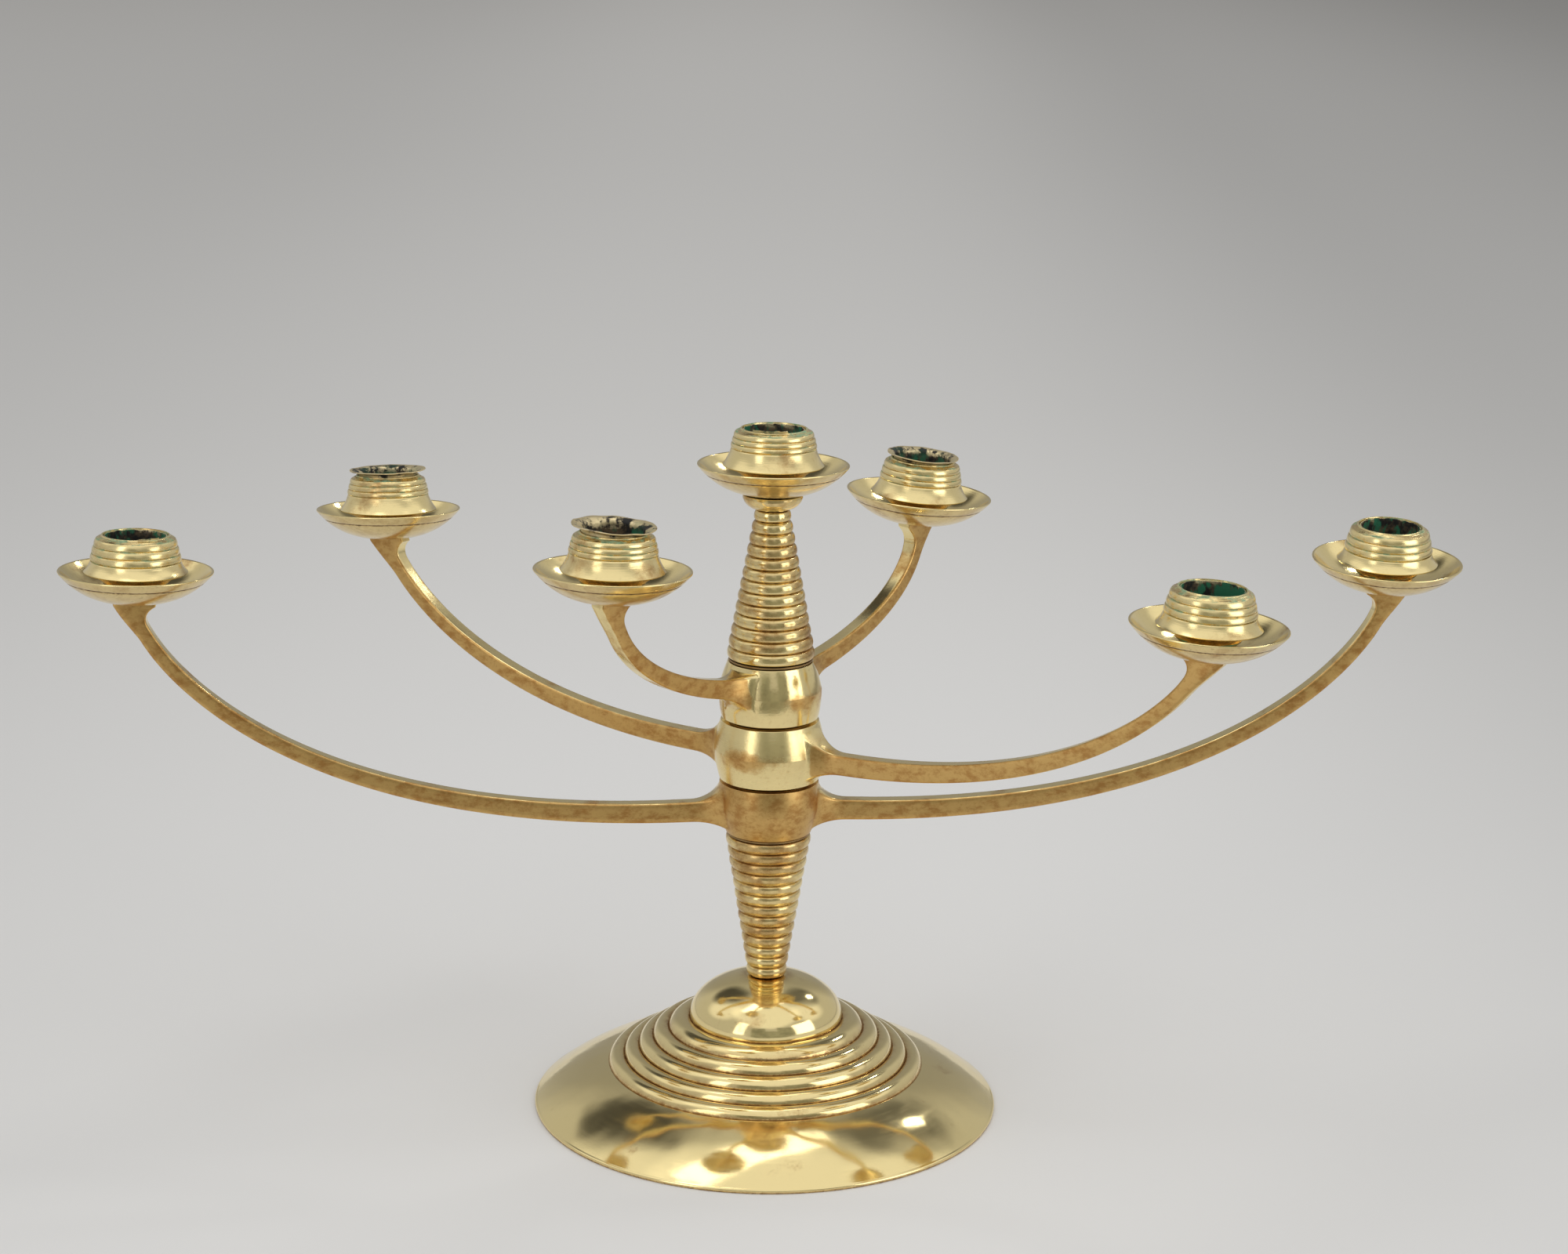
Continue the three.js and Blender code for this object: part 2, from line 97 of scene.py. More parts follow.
class Bench:
    """Lays out the nodes of one material or world round its single shader."""

    def __init__(self, owner: bpy.types.Material | bpy.types.World) -> None:
        """Starts on the nodes that a new material or world has.

        Args:
            owner: The new material or world.
        """
        owner.use_nodes = True
        self.owner = owner
        self.tree = owner.node_tree
        self.shader = self.tree.nodes.get("Principled BSDF") or self.tree.nodes["Background"]

    def feed(self, socket: bpy.types.NodeSocket, value: object) -> None:
        """Links a socket to another one, or sets its own value.

        Args:
            socket: The input to feed.
            value: An output socket, a number or a colour.
        """
        if isinstance(value, bpy.types.NodeSocket):
            self.tree.links.new(value, socket)
        elif isinstance(value, tuple) and len(socket.default_value) == 4:
            socket.default_value = (*value, 1.0)
        else:
            socket.default_value = value

    def node(self, kind: str, inputs: dict, **settings: object) -> bpy.types.Node:
        """Adds one node.

        Args:
            kind: The node's type, without its "ShaderNode" beginning.
            inputs: What each input takes, by name or number.
            **settings: Properties of the node itself.

        Returns:
            The new node.
        """
        made = self.tree.nodes.new("ShaderNode" + kind)
        for key, value in settings.items():
            setattr(made, key, value)
        for key, value in inputs.items():
            self.feed(made.inputs[key], value)
        return made

    def place(self) -> bpy.types.NodeSocket:
        """Returns the point on the piece, in metres."""
        return self.node("TexCoord", {}).outputs["Object"]

    def mark(self, mark: Mark) -> bpy.types.NodeSocket:
        """Returns one of the mesh's single values."""
        return self.node("Attribute", {}, attribute_name=mark.value).outputs["Fac"]

    def turning(self) -> bpy.types.NodeSocket:
        """Returns the piece's own point: two across its axis and the third along its outline."""
        made = self.node("Attribute", {}, attribute_name=Mark.TURNING.value)
        return made.outputs["Vector"]

    def stretch(self, vector: bpy.types.NodeSocket, scale: Sequence[float]) -> bpy.types.NodeSocket:
        """Scales a pattern's point by its own amount on each axis.

        Args:
            vector: The point.
            scale: The three factors.

        Returns:
            The scaled point.
        """
        return self.node("Mapping", {"Vector": vector, "Scale": scale}).outputs["Vector"]

    def noise(
        self, vector: bpy.types.NodeSocket, scale: float, detail: float = 3.0, rough: float = 0.55
    ) -> bpy.types.NodeSocket:
        """Makes a cloudy value.

        Args:
            vector: The pattern's point.
            scale: Clouds in a metre.
            detail: How many finer layers are added.
            rough: How strong the finer layers are.

        Returns:
            A value that is mostly from 0.3 to 0.7.
        """
        inputs = {"Vector": vector, "Scale": scale, "Detail": detail, "Roughness": rough}
        return self.node("TexNoise", inputs).outputs[0]

    def span(
        self, value: object, low: float, high: float, start: float = 0.0, end: float = 1.0
    ) -> bpy.types.NodeSocket:
        """Maps a value smoothly from one range to another, and holds it there.

        Args:
            value: The value.
            low: Where the first range begins.
            high: Where it ends.
            start: The result at low.
            end: The result at high.

        Returns:
            The mapped value.
        """
        inputs = {"Value": value, 1: low, 2: high, 3: start, 4: end}
        made = self.node("MapRange", inputs, interpolation_type="SMOOTHSTEP")
        return made.outputs[0]

    def math(self, operation: str, first: object, second: object = 0.0) -> bpy.types.NodeSocket:
        """Works out one sum and holds it between 0 and 1.

        Args:
            operation: The operation's name.
            first: The first value.
            second: The second value.

        Returns:
            The result.
        """
        made = self.node("Math", {0: first, 1: second}, operation=operation, use_clamp=True)
        return made.outputs[0]

    def mix(self, share: object, first: object, second: object) -> bpy.types.NodeSocket:
        """Mixes two colours.

        Args:
            share: How much of the second colour shows.
            first: The first colour.
            second: The second colour.

        Returns:
            The mixed colour.
        """
        made = self.node("Mix", {0: share, 6: first, 7: second}, data_type="RGBA")
        return made.outputs[2]

    def bump(
        self, height: object, strength: float, depth: float, under: object = None
    ) -> bpy.types.NodeSocket:
        """Turns a height into relief.

        Args:
            height: The value that stands for height.
            strength: How much of the relief shows.
            depth: How deep a step of 1 is, in metres.
            under: The relief that this one lies on.

        Returns:
            The bent normal.
        """
        inputs = {"Height": height, "Strength": strength, "Distance": depth}
        if under is not None:
            inputs["Normal"] = under
        return self.node("Bump", inputs).outputs[0]

    def give(self, name: str, value: object) -> None:
        """Feeds the shader's own input of that name."""
        self.feed(self.shader.inputs[name], value)

    def finish(self, colour: object, metal: object, gloss: object, relief: object) -> None:
        """Feeds the surface shader.

        Args:
            colour: The base colour.
            metal: How metallic the surface is.
            gloss: Its roughness.
            relief: Its bent normal.
        """
        names = ("Base Color", "Metallic", "Roughness", "Normal")
        for name, value in zip(names, (colour, metal, gloss, relief), strict=True):
            self.give(name, value)


@dataclass(frozen=True)
class Brass:
    """Brass under a thin brown film, with grime and painted shade in its hollows and sometimes
    verdigris.
    """

    name: str
    slot: str
    clean: Colour = (0.95, 0.785, 0.395)
    aged: Colour = (0.68, 0.465, 0.20)
    brown: Colour = (0.41, 0.235, 0.085)
    # colour of the hollows: partly real grime, partly painted shade where occlusion would darken them
    grime_and_shade: Colour = (0.15, 0.085, 0.036)
    film: float = 0.3  # how much of the surface the film covers
    patches: float = 45.0  # film patches in a metre
    specks: float = 0.15
    gloss: Span = (0.07, 0.16)  # roughness where it is clean and where it is filmed
    marks: float = 0.15  # strength of the lathe's marks
    dents: float = 0.12  # strength of the long waves
    verdigris: float = 0.0
    flank_film: float = 0.0  # extra film on the flanks of a bar
    boss_film: float = 0.0  # extra film on a hub
    boss_clean: float = 0.0  # how much cleaner a hub is than its arms

    def film_on(self, bench: Bench, place: bpy.types.NodeSocket) -> bpy.types.NodeSocket:
        """Returns where the film lies, from 0 to 1.

        Args:
            bench: The material's nodes.
            place: The point on the piece.

        Returns:
            The film's strength.
        """
        clouds = bench.noise(place, self.patches, 6.0, 0.62)
        laid = bench.math("MULTIPLY", bench.mark(Mark.FLANK), self.flank_film)
        laid = bench.math("ADD", laid, bench.math("MULTIPLY", bench.mark(Mark.BOSS), self.boss_film))
        wear = bench.math("ADD", clouds, bench.math("MULTIPLY", laid, 0.6))
        rubbed = bench.math("MULTIPLY", bench.mark(Mark.BOSS), self.boss_clean)
        wear = bench.math("SUBTRACT", wear, rubbed)
        film = bench.span(wear, 0.66 - 0.34 * self.film, 0.86 - 0.3 * self.film)
        return bench.math("MAXIMUM", film, bench.math("MULTIPLY", bench.mark(Mark.HOLLOW), 0.9))

    def tone(
        self,
        bench: Bench,
        place: bpy.types.NodeSocket,
        film: bpy.types.NodeSocket,
        grain: bpy.types.NodeSocket,
    ) -> tuple[bpy.types.NodeSocket, bpy.types.NodeSocket]:
        """Mixes the metal's colours.

        Args:
            bench: The material's nodes.
            place: The point on the piece.
            film: The film's strength.
            grain: The finest pattern.

        Returns:
            The colour, and where the dirt and painted shade lie.
        """
        stains = bench.noise(bench.stretch(place, (1.0, 1.0, 1.6)), 3.2 * self.patches, 6.0, 0.72)
        stain = bench.math("MULTIPLY", bench.span(stains, 0.42, 0.66), film)
        speck = bench.math("MULTIPLY", bench.span(grain, 0.54, 0.68), self.specks)
        speck = bench.math("MULTIPLY", speck, bench.math("ADD", film, 0.3))
        ragged = bench.span(grain, 0.3, 0.7, -0.2, 0.2)
        # painted shade and grime: the hollow mark darkens creases, joints and recesses towards the grime
        # colour
        dirt_and_shade = bench.span(bench.math("ADD", bench.mark(Mark.HOLLOW), ragged), 0.5, 1.0)
        colour = bench.mix(film, self.clean, self.aged)
        colour = bench.mix(bench.math("MAXIMUM", stain, speck), colour, self.brown)
        return bench.mix(dirt_and_shade, colour, self.grime_and_shade), dirt_and_shade

    def material(self) -> bpy.types.Material:
        """Builds the material.

        Returns:
            The material.
        """
        bench = Bench(bpy.data.materials.new(self.name))
        place, turning = bench.place(), bench.turning()
        film = self.film_on(bench, place)
        grain = bench.noise(place, 620.0, 5.0, 0.7)
        colour, dirt_and_shade = self.tone(bench, place, film, grain)
        gloss = bench.span(film, 0.0, 1.0, *self.gloss)
        smear = bench.noise(bench.stretch(turning, (60.0, 60.0, 500.0)), 1.0, 3.0, 0.6)
        gloss = bench.math("ADD", gloss, bench.span(smear, 0.45, 0.8, 0.0, 0.06))
        gloss = bench.math("ADD", gloss, bench.math("MULTIPLY", dirt_and_shade, 0.3))
        lines = bench.noise(bench.stretch(turning, (25.0, 25.0, 2600.0)), 1.0, 2.0, 0.5)
        relief = bench.bump(bench.noise(place, 28.0, 2.0), self.dents, 0.004)
        relief = bench.bump(lines, self.marks, 0.00006, relief)
        relief = bench.bump(grain, 0.25 * self.specks + 0.02, 0.0002, relief)
        metal: object = 1.0
        if self.verdigris:
            crust = bench.noise(bench.stretch(turning, (170.0, 170.0, 420.0)), 1.0, 4.0, 0.7)
            green = bench.math("MULTIPLY", bench.mark(Mark.GREEN), bench.span(crust, 0.46, 0.62))
            green = bench.math("MULTIPLY", green, self.verdigris)
            shade = bench.mix(bench.span(grain, 0.35, 0.65), (0.03, 0.19, 0.11), (0.20, 0.46, 0.30))
            colour = bench.mix(green, colour, shade)
            gloss = bench.math("ADD", gloss, bench.math("MULTIPLY", green, 0.5))
            metal = bench.math("SUBTRACT", 1.0, green)
        bench.finish(colour, metal, gloss, relief)
        return bench.owner


@dataclass(frozen=True)
class Lining:
    """The liners' thin brass, burnt brown inside and spotted with green and soot."""

    name: str
    slot: str = "liner_brass"
    bare: Colour = (0.78, 0.66, 0.40)
    burnt: Colour = (0.15, 0.105, 0.06)
    soot: Colour = (0.02, 0.02, 0.019)
    green: Colour = (0.03, 0.17, 0.09)

    def material(self) -> bpy.types.Material:
        """Builds the material.

        Returns:
            The material.
        """
        bench = Bench(bpy.data.materials.new(self.name))
        place = bench.place()
        clouds = bench.noise(place, 190.0, 6.0, 0.68)
        inside = bench.math("ADD", bench.mark(Mark.HOLLOW), bench.span(clouds, 0.36, 0.64, -0.22, 0.22))
        inside = bench.span(inside, 0.38, 0.62)
        grain = bench.noise(place, 900.0, 4.0, 0.7)
        colour = bench.mix(bench.span(clouds, 0.53, 0.7), self.bare, self.burnt)
        deep = bench.mix(bench.span(clouds, 0.35, 0.6), self.burnt, self.soot)
        colour = bench.mix(inside, colour, deep)
        spots = bench.noise(bench.stretch(place, (1.0, 1.0, 0.6)), 130.0, 5.0, 0.65)
        green = bench.math("MULTIPLY", bench.span(spots, 0.5, 0.58), bench.mark(Mark.GREEN))
        colour = bench.mix(green, colour, self.green)
        gloss = bench.span(grain, 0.3, 0.7, 0.3, 0.6)
        gloss = bench.math("ADD", gloss, bench.math("MULTIPLY", green, 0.3))
        metal = bench.math("SUBTRACT", 1.0, bench.math("MAXIMUM", green, inside))
        bench.give("Specular IOR Level", 0.2)
        bench.finish(colour, metal, gloss, bench.bump(grain, 0.5, 0.0003))
        return bench.owner


@dataclass(frozen=True)
class Steel:
    """Plain steel with a brushed surface and a little rust."""

    name: str
    slot: str
    bright: Colour = (0.52, 0.52, 0.52)
    rust: Colour = (0.23, 0.11, 0.05)
    rusted: float = 0.3
    gloss: Span = (0.26, 0.5)

    def material(self) -> bpy.types.Material:
        """Builds the material.

        Returns:
            The material.
        """
        bench = Bench(bpy.data.materials.new(self.name))
        place, turning = bench.place(), bench.turning()
        clouds = bench.noise(place, 260.0, 6.0, 0.65)
        rust = bench.span(clouds, 0.7 - 0.3 * self.rusted, 0.84 - 0.3 * self.rusted)
        colour = bench.mix(rust, self.bright, self.rust)
        gloss = bench.span(rust, 0.0, 1.0, *self.gloss)
        lines = bench.noise(bench.stretch(turning, (60.0, 60.0, 3000.0)), 1.0, 2.0)
        relief = bench.bump(lines, 0.3, 0.00008)
        metal = bench.math("SUBTRACT", 1.0, bench.math("MULTIPLY", rust, 0.6))
        bench.finish(colour, metal, gloss, relief)
        return bench.owner


# ---- Outlines and meshes --------------------------------------------------------------------


@dataclass
class Outline:
    """A line of points in the plane of a turned piece: distance from the axis, and height."""

    points: list[Point] = field(default_factory=list)
    hollow: list[float] = field(default_factory=list)
    green: list[float] = field(default_factory=list)

    def to(self, radius: float, height: float, hollow: float = 0.0, green: float = 0.0) -> "Outline":
        """Adds one point.

        Args:
            radius: Distance from the axis.
            height: Height of the point.
            hollow: How deep in a hollow it lies, from 0 to 1. Brass darkens there with grime and painted
                shade.
            green: How readily verdigris grows there, from 0 to 1.

        Returns:
            The outline itself.
        """
        self.points.append((radius, height))
        self.hollow.append(hollow)
        self.green.append(green)
        return self

    def swell(
        self,
        radius: float,
        height: float,
        rise: float,
        steps: int,
        ends: float = 0.0,
        green: float = 0.0,
        power: float = 0.5,
    ) -> "Outline":
        """Adds a bow from the last point. With the metal on the left of the line, it swells outwards.

        Args:
            radius: Distance of its end from the axis.
            height: Height of its end.
            rise: How far its middle stands off the straight line, away from the metal.
            steps: How many points it takes.
            ends: How hollow its two ends are.
            green: How readily verdigris grows at its ends.
            power: 1 gives a parabola, and less gives fuller shoulders.

        Returns:
            The outline itself.
        """
        r0, z0 = self.points[-1]
        dr, dz = radius - r0, height - z0
        length = math.hypot(dr, dz)
        for i in range(1, steps + 1):
            t = 0.5 - 0.5 * math.cos(math.pi * i / steps)
            off = rise * (4 * t * (1 - t)) ** power
            edge = abs(2 * t - 1) ** 3
            out, up = t * dr + off * dz / length, t * dz - off * dr / length
            self.to(r0 + out, z0 + up, ends * edge, green * edge)
        return self

    def bend(
        self, corner: Point, end: Point, steps: int, hollow: float = 0.0, green: float = 0.0
    ) -> "Outline":
        """Adds a smooth bend from the last point that leans towards a corner.

        Args:
            corner: The corner that the bend leans towards.
            end: Where it ends.
            steps: How many points it takes.
            hollow: How hollow it is.
            green: How readily verdigris grows on it.

        Returns:
            The outline itself.
        """
        start = self.points[-1]
        for i in range(1, steps + 1):
            t = i / steps
            radius, height = (
                (1 - t) ** 2 * a + 2 * t * (1 - t) * b + t * t * c
                for a, b, c in zip(start, corner, end, strict=True)
            )
            self.to(radius, height, hollow, green)
        return self

    def spin(self, facets: int, seed: float = 0.0) -> BMesh:
        """Turns the closed outline round the Z axis.

        Args:
            facets: How many facets go round.
            seed: Shifts the piece's patterns, so that no two pieces have the same marks.

        Returns:
            A closed mesh in metres.
        """
        bm = bmesh.new()
        hollow = bm.verts.layers.float.new(Mark.HOLLOW.value)
        green = bm.verts.layers.float.new(Mark.GREEN.value)
        along = bm.verts.layers.float.new("along")
        verts, length, last = [], 0.0, self.points[0]
        for point, deep, crust in zip(self.points, self.hollow, self.green, strict=True):
            length += math.dist(point, last)
            last = point
            vert = bm.verts.new((point[0] * MM, 0.0, point[1] * MM))
            vert[hollow], vert[green], vert[along] = deep, crust, length * MM
            verts.append(vert)
        edges = [bm.edges.new(pair) for pair in pairwise([*verts, verts[0]])]
        bmesh.ops.spin(
            bm,
            geom=[*verts, *edges],
            cent=(0, 0, 0),
            axis=(0, 0, 1),
            dvec=(0, 0, 0),
            angle=2 * math.pi,
            steps=facets,
            use_merge=True,
            use_duplicate=False,
        )
        bmesh.ops.remove_doubles(bm, verts=bm.verts, dist=SPIN_WELD)
        bmesh.ops.recalc_face_normals(bm, faces=bm.faces)
        turning = bm.verts.layers.float_vector.new(Mark.TURNING.value)
        for vert in bm.verts:
            vert[turning] = Vector((vert.co.x + seed, vert.co.y - seed, vert[along] + seed))
        return bm


def settle(bm: BMesh, name: str, sharp: float = 38.0) -> bpy.types.Object:
    """Makes an object of a mesh and frees the mesh.

    Args:
        bm: The finished mesh.
        name: The object's name.
        sharp: Edges that turn by more than this many degrees stay crisp.

    Returns:
        The new object, linked to the scene.
    """
    mesh = bpy.data.meshes.new(name)
    for face in bm.faces:
        face.smooth = True
    bm.to_mesh(mesh)
    bm.free()
    mesh.set_sharp_from_angle(angle=math.radians(sharp))
    made = bpy.data.objects.new(name, mesh)
    bpy.context.scene.collection.objects.link(made)
    return made


def lift(bm: BMesh, height: float) -> BMesh:
    """Moves a mesh up.

    Args:
        bm: The mesh.
        height: How far, in metres.

    Returns:
        The same mesh.
    """
    bmesh.ops.translate(bm, verts=bm.verts, vec=(0, 0, height))
    return bm


def pin(radius: float, length: float, facets: int) -> BMesh:
    """Makes a closed cylinder or prism round the Z axis, with its middle at the origin.

    Args:
        radius: Its radius over the corners, in metres.
        length: Its length, in metres.
        facets: How many sides it has.

    Returns:
        The closed mesh.
    """
    bm = bmesh.new()
    bmesh.ops.create_cone(
        bm, cap_ends=True, segments=facets, radius1=radius, radius2=radius, depth=length
    )
    return bm


def fuse(first: BMesh, second: BMesh, way: Fusion) -> BMesh:
    """Joins a closed mesh to another, or cuts it out of another.

    Args:
        first: The mesh that stays. It is freed.
        second: The mesh that is joined or cut out. It is freed.
        way: Which of the two is done.

    Returns:
        The result.
    """
    kept, tool = settle(first, "kept"), settle(second, "tool")
    step = kept.modifiers.new("fuse", "BOOLEAN")
    step.operation, step.solver, step.object = way.value, "EXACT", tool
    graph = bpy.context.evaluated_depsgraph_get()
    result = bmesh.new()
    result.from_mesh(kept.evaluated_get(graph).to_mesh())
    for spare in (kept, tool):
        bpy.data.meshes.remove(spare.data)
    bmesh.ops.remove_doubles(result, verts=result.verts, dist=FUSE_WELD)
    return result


def dress(
    piece: bpy.types.Object, nodes: Sequence[str], material: bpy.types.Material
) -> None:
    """Gives a piece its material and its place in the frame.

    Args:
        piece: The piece.
        nodes: The frame's parts that it stands for, all on one body.
        material: Its material.
    """
    piece.data.materials.clear()
    piece.data.materials.append(material)
    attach(piece, BODY_OF[nodes[0]])
    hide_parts(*nodes)
    log.info("%s: %d faces on %s", piece.name, len(piece.data.polygons), BODY_OF[nodes[0]])


def base_height(node: str) -> float:
    """Returns the height of a frame part's underside, in metres."""
    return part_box(node)[0].z


# ---- The foot and what is inside it -----------------------------------------------------------


@dataclass
class Foot:
    """The spun foot: a flange, five rounded ribs and a dome."""

    rim_radius: float = 95.0
    rim_edge: float = 1.6
    rim_land: float = 3.4
    wall: float = 2.5
    crown: float = 1.6
    rib: float = 2.05
    grooves: Sequence[Point] = (
        (64.4, 17.7),
        (58.05, 21.1),
        (52.0, 24.7),
        (46.3, 29.0),
        (40.0, 32.9),
        (31.3, 36.7),
    )
    dome_foot: float = 37.9
    seat: Point = (8.6, 55.1)
    bore: float = 3.3
    facets: int = 192
    finish: Brass = Brass(
        "foot_finish",
        "foot_brass",
        # brown grime and painted shade in the grooves between the ribs
        grime_and_shade=(0.36, 0.21, 0.085),
        film=0.2,
        specks=0.1,
        gloss=(0.1, 0.18),
        marks=0.05,
        dents=0.22,
    )

    def outside(self) -> Outline:
        """Draws the side that shows, from the floor up to the seat.

        Returns:
            The open outline.
        """
        # The hollow values darken the rim's underside, the grooves between the ribs and the dome's foot:
        # grime and painted shade.
        line = Outline().to(self.rim_radius - self.rim_land, 0.0, 0.6)
        line.to(self.rim_radius - 0.7, 0.0, 0.8)
        line.bend((self.rim_radius - 0.1, 0.0), (self.rim_radius - 0.1, 0.6), 3, 0.7)
        line.to(self.rim_radius, self.rim_edge - 0.5, 0.2)
        line.bend((self.rim_radius, self.rim_edge), (self.rim_radius - 0.9, self.rim_edge + 0.45), 4)
        first, *others = self.grooves
        line.swell(first[0] + 0.5, first[1] - 0.1, self.crown, 28, power=1.0)
        line.to(*first, 1.0)
        for radius, height in others:
            line.swell(radius, height, self.rib, 18, 0.9, power=0.7)
        line.to(others[-1][0], self.dome_foot, 0.25)
        return self.dome(line, others[-1][0], self.seat, 26)

    def dome(self, line: Outline, radius: float, end: Point, steps: int) -> Outline:
        """Adds a quarter of an oval from the dome's foot up to its top.

        Args:
            line: The outline so far.
            radius: The dome's radius at its foot.
            end: Where it ends.
            steps: How many points it takes.

        Returns:
            The outline itself.
        """
        last = math.acos(end[0] / radius)
        rise = (end[1] - self.dome_foot) / math.sin(last)
        for i in range(1, steps + 1):
            angle = last * i / steps
            # painted shade and grime towards the dome's top, under the stem
            hollow = 0.5 * max(0.0, i / steps - 0.9) / 0.1
            line.to(radius * math.cos(angle), self.dome_foot + rise * math.sin(angle), hollow)
        return line

    def outline(self) -> Outline:
        """Draws the whole shell: its outside, its bore and its underside.

        Returns:
            The closed outline.
        """
        line = self.outside()
        ceiling = self.seat[1] - self.wall
        line.to(self.bore + 0.4, self.seat[1]).to(self.bore, self.seat[1] - 0.4).to(self.bore, ceiling)
        inner = Outline()
        self.dome(inner, self.grooves[-1][0] - self.wall, (12.0, ceiling), 14)
        for point in reversed(inner.points):
            line.to(*point, 0.3)
        for (r0, z0), (r1, z1) in pairwise(reversed(self.grooves)):
            line.to(r0 - 0.9 * self.wall * 0.55, z0 - self.wall, 0.4)
            line.to((r0 + r1) / 2, (z0 + z1) / 2 - 0.6 * self.wall, 0.3)
        line.to(self.grooves[0][0] - 1.4, self.grooves[0][1] - self.wall, 0.4)
        return line.swell(self.rim_radius - self.rim_land, 0.02, -self.crown, 14, 0.3, power=1.0)

    def build(self) -> None:
        """Builds and dresses the foot."""
        shell = settle(self.outline().spin(self.facets), "foot_shell")
        dress(shell, ["foot"], self.finish.material())


@dataclass
class TieRod:
    """The rod through the whole stack, with the nut and the washer under the foot's dome."""

    radius: float = 3.0
    thread_pitch: float = 1.0
    thread_depth: float = 0.3
    threads: int = 9
    nut_width: float = 10.0
    nut_bevel: float = 0.5
    washer_radius: float = 9.0
    bore: float = 3.3
    steel: Steel = Steel("rod_finish", "rod_steel", rusted=0.5)

    def rod(self) -> BMesh:
        """Turns the rod, with a thread at its lower end.

        Returns:
            The rod, in its place.
        """
        low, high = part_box("tie_rod")
        length = (high.z - low.z) / MM
        line = Outline().to(0.0, 0.0).to(self.radius - 0.7, 0.0)
        root, z = self.radius - self.thread_depth, 0.6
        for _ in range(self.threads):
            line.to(root, z, 0.7).to(self.radius, z + 0.4 * self.thread_pitch)
            line.to(self.radius, z + 0.6 * self.thread_pitch)
            z += self.thread_pitch
        line.to(root, z, 0.7).to(self.radius, z + 0.6).to(self.radius, length - 0.5)
        line.to(self.radius - 0.5, length).to(0.0, length)
        return lift(line.spin(40), low.z)

    def nut(self) -> BMesh:
        """Makes the hexagonal nut with bevelled edges and a bored hole.

        Returns:
            The nut, in its place.
        """
        low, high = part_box("rod_nut")
        bm = pin(self.nut_width * MM / math.sqrt(3), high.z - low.z, 6)
        bmesh.ops.bevel(
            bm,
            geom=bm.edges[:],
            offset=self.nut_bevel * MM,
            segments=3,
            profile=0.5,
            affect="EDGES",
            material=-1,
        )
        bm = fuse(bm, pin(self.bore * MM, 2 * self.nut_width * MM, 40), Fusion.CUT)
        turn = Matrix.Rotation(math.radians(30), 3, "Z")
        bmesh.ops.rotate(bm, verts=bm.verts, cent=(0, 0, 0), matrix=turn)
        return lift(bm, (low.z + high.z) / 2)

    def washer(self) -> BMesh:
        """Turns the washer between the nut and the foot.

        Returns:
            The washer, in its place.
        """
        low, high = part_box("foot_washer")
        return lift(flat_ring(self.bore, self.washer_radius, (high.z - low.z) / MM).spin(72), low.z)

    def build(self) -> None:
        """Builds and dresses the rod, the nut and the washer."""
        material = self.steel.material()
        for name, node, bm in (
            ("rod_through_stack", "tie_rod", self.rod()),
            ("nut_under_dome", "rod_nut", self.nut()),
            ("washer_under_dome", "foot_washer", self.washer()),
        ):
            dress(settle(bm, name), [node], material)


def flat_ring(inner: float, outer: float, height: float, edge: float = 0.15) -> Outline:
    """Draws a flat ring that stands on height 0, with its edges broken.

    Args:
        inner: Radius of its hole.
        outer: Its radius.
        height: Its thickness.
        edge: Width of the broken edges.

    Returns:
        The outline.
    """
    # The outer edge is marked half hollow, so brass washers darken there with grime and painted shade.
    line = Outline().to(inner, edge).to(inner + edge, 0.0).to(outer - edge, 0.0).to(outer, edge, 0.5)
    line.to(outer, height - edge, 0.5).to(outer - edge, height)
    return line.to(inner + edge, height).to(inner, height - edge)


# ---- Stems ----------------------------------------------------------------------------------


@dataclass
class BeadedStem:
    """A tapering stem of rounded beads."""

    node: str
    name: str
    bottom_radius: float
    top_radius: float
    seed: int
    collar: bool = False
    beads: int = 13
    bead_height: float = 4.685
    depth: float = 1.4
    collar_neck: float = 7.2
    collar_radius: float = 12.0
    bore: float = 3.3
    facets: int = 112
    finish: Brass = Brass(
        "stem_finish",
        "stem_brass",
        clean=(0.90, 0.73, 0.36),
        aged=(0.63, 0.43, 0.18),
        film=0.8,
        specks=0.6,
        gloss=(0.13, 0.27),
        marks=0.2,
        dents=0.05,
    )

    def outline(self) -> Outline:
        """Draws the beads, the collar if there is one, and the bore.

        Returns:
            The closed outline, from height 0.
        """
        rng = random.Random(self.seed)
        height = (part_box(self.node)[1].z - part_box(self.node)[0].z) / MM
        line = Outline().to(self.bore, 0.0)
        taper = (self.top_radius - self.bottom_radius) / (self.beads - 1)
        for i in range(self.beads):
            crest = self.bottom_radius + taper * i + rng.uniform(-0.06, 0.04)
            low, high = crest - self.depth, crest - self.depth + 0.5 * taper
            if i:
                low -= 0.5 * taper
            base = self.bead_height * i
            top = self.bead_height * (i + 1)
            # The joints between the beads are marked hollow: grime and painted shade.
            line.to(low + 0.15, base + 0.04, 0.85)
            line.to(low + 0.35, base + 0.2, 0.4)
            swell = self.depth - 0.35
            line.swell(high + 0.35, top - 0.2, swell, 13, 0.3)
            line.to(high + 0.15, top - 0.04, 0.85)
        if self.collar:
            # the neck under the collar is marked hollow: grime and painted shade
            line.to(self.collar_neck, self.beads * self.bead_height + 0.1, 0.9)
            line.swell(self.collar_radius, height - 0.9, 1.1, 12, 0.2, power=0.8)
            line.to(self.collar_radius, height - 0.25).to(self.collar_radius - 0.25, height)
            line.to(self.bore, height)
        else:
            line.to(self.bore, height)
        return line

    def build(self) -> None:
        """Builds and dresses the stem."""
        bm = lift(self.outline().spin(self.facets, self.seed * 0.07), base_height(self.node))
        dress(settle(bm, self.name), [self.node], self.finish.material())


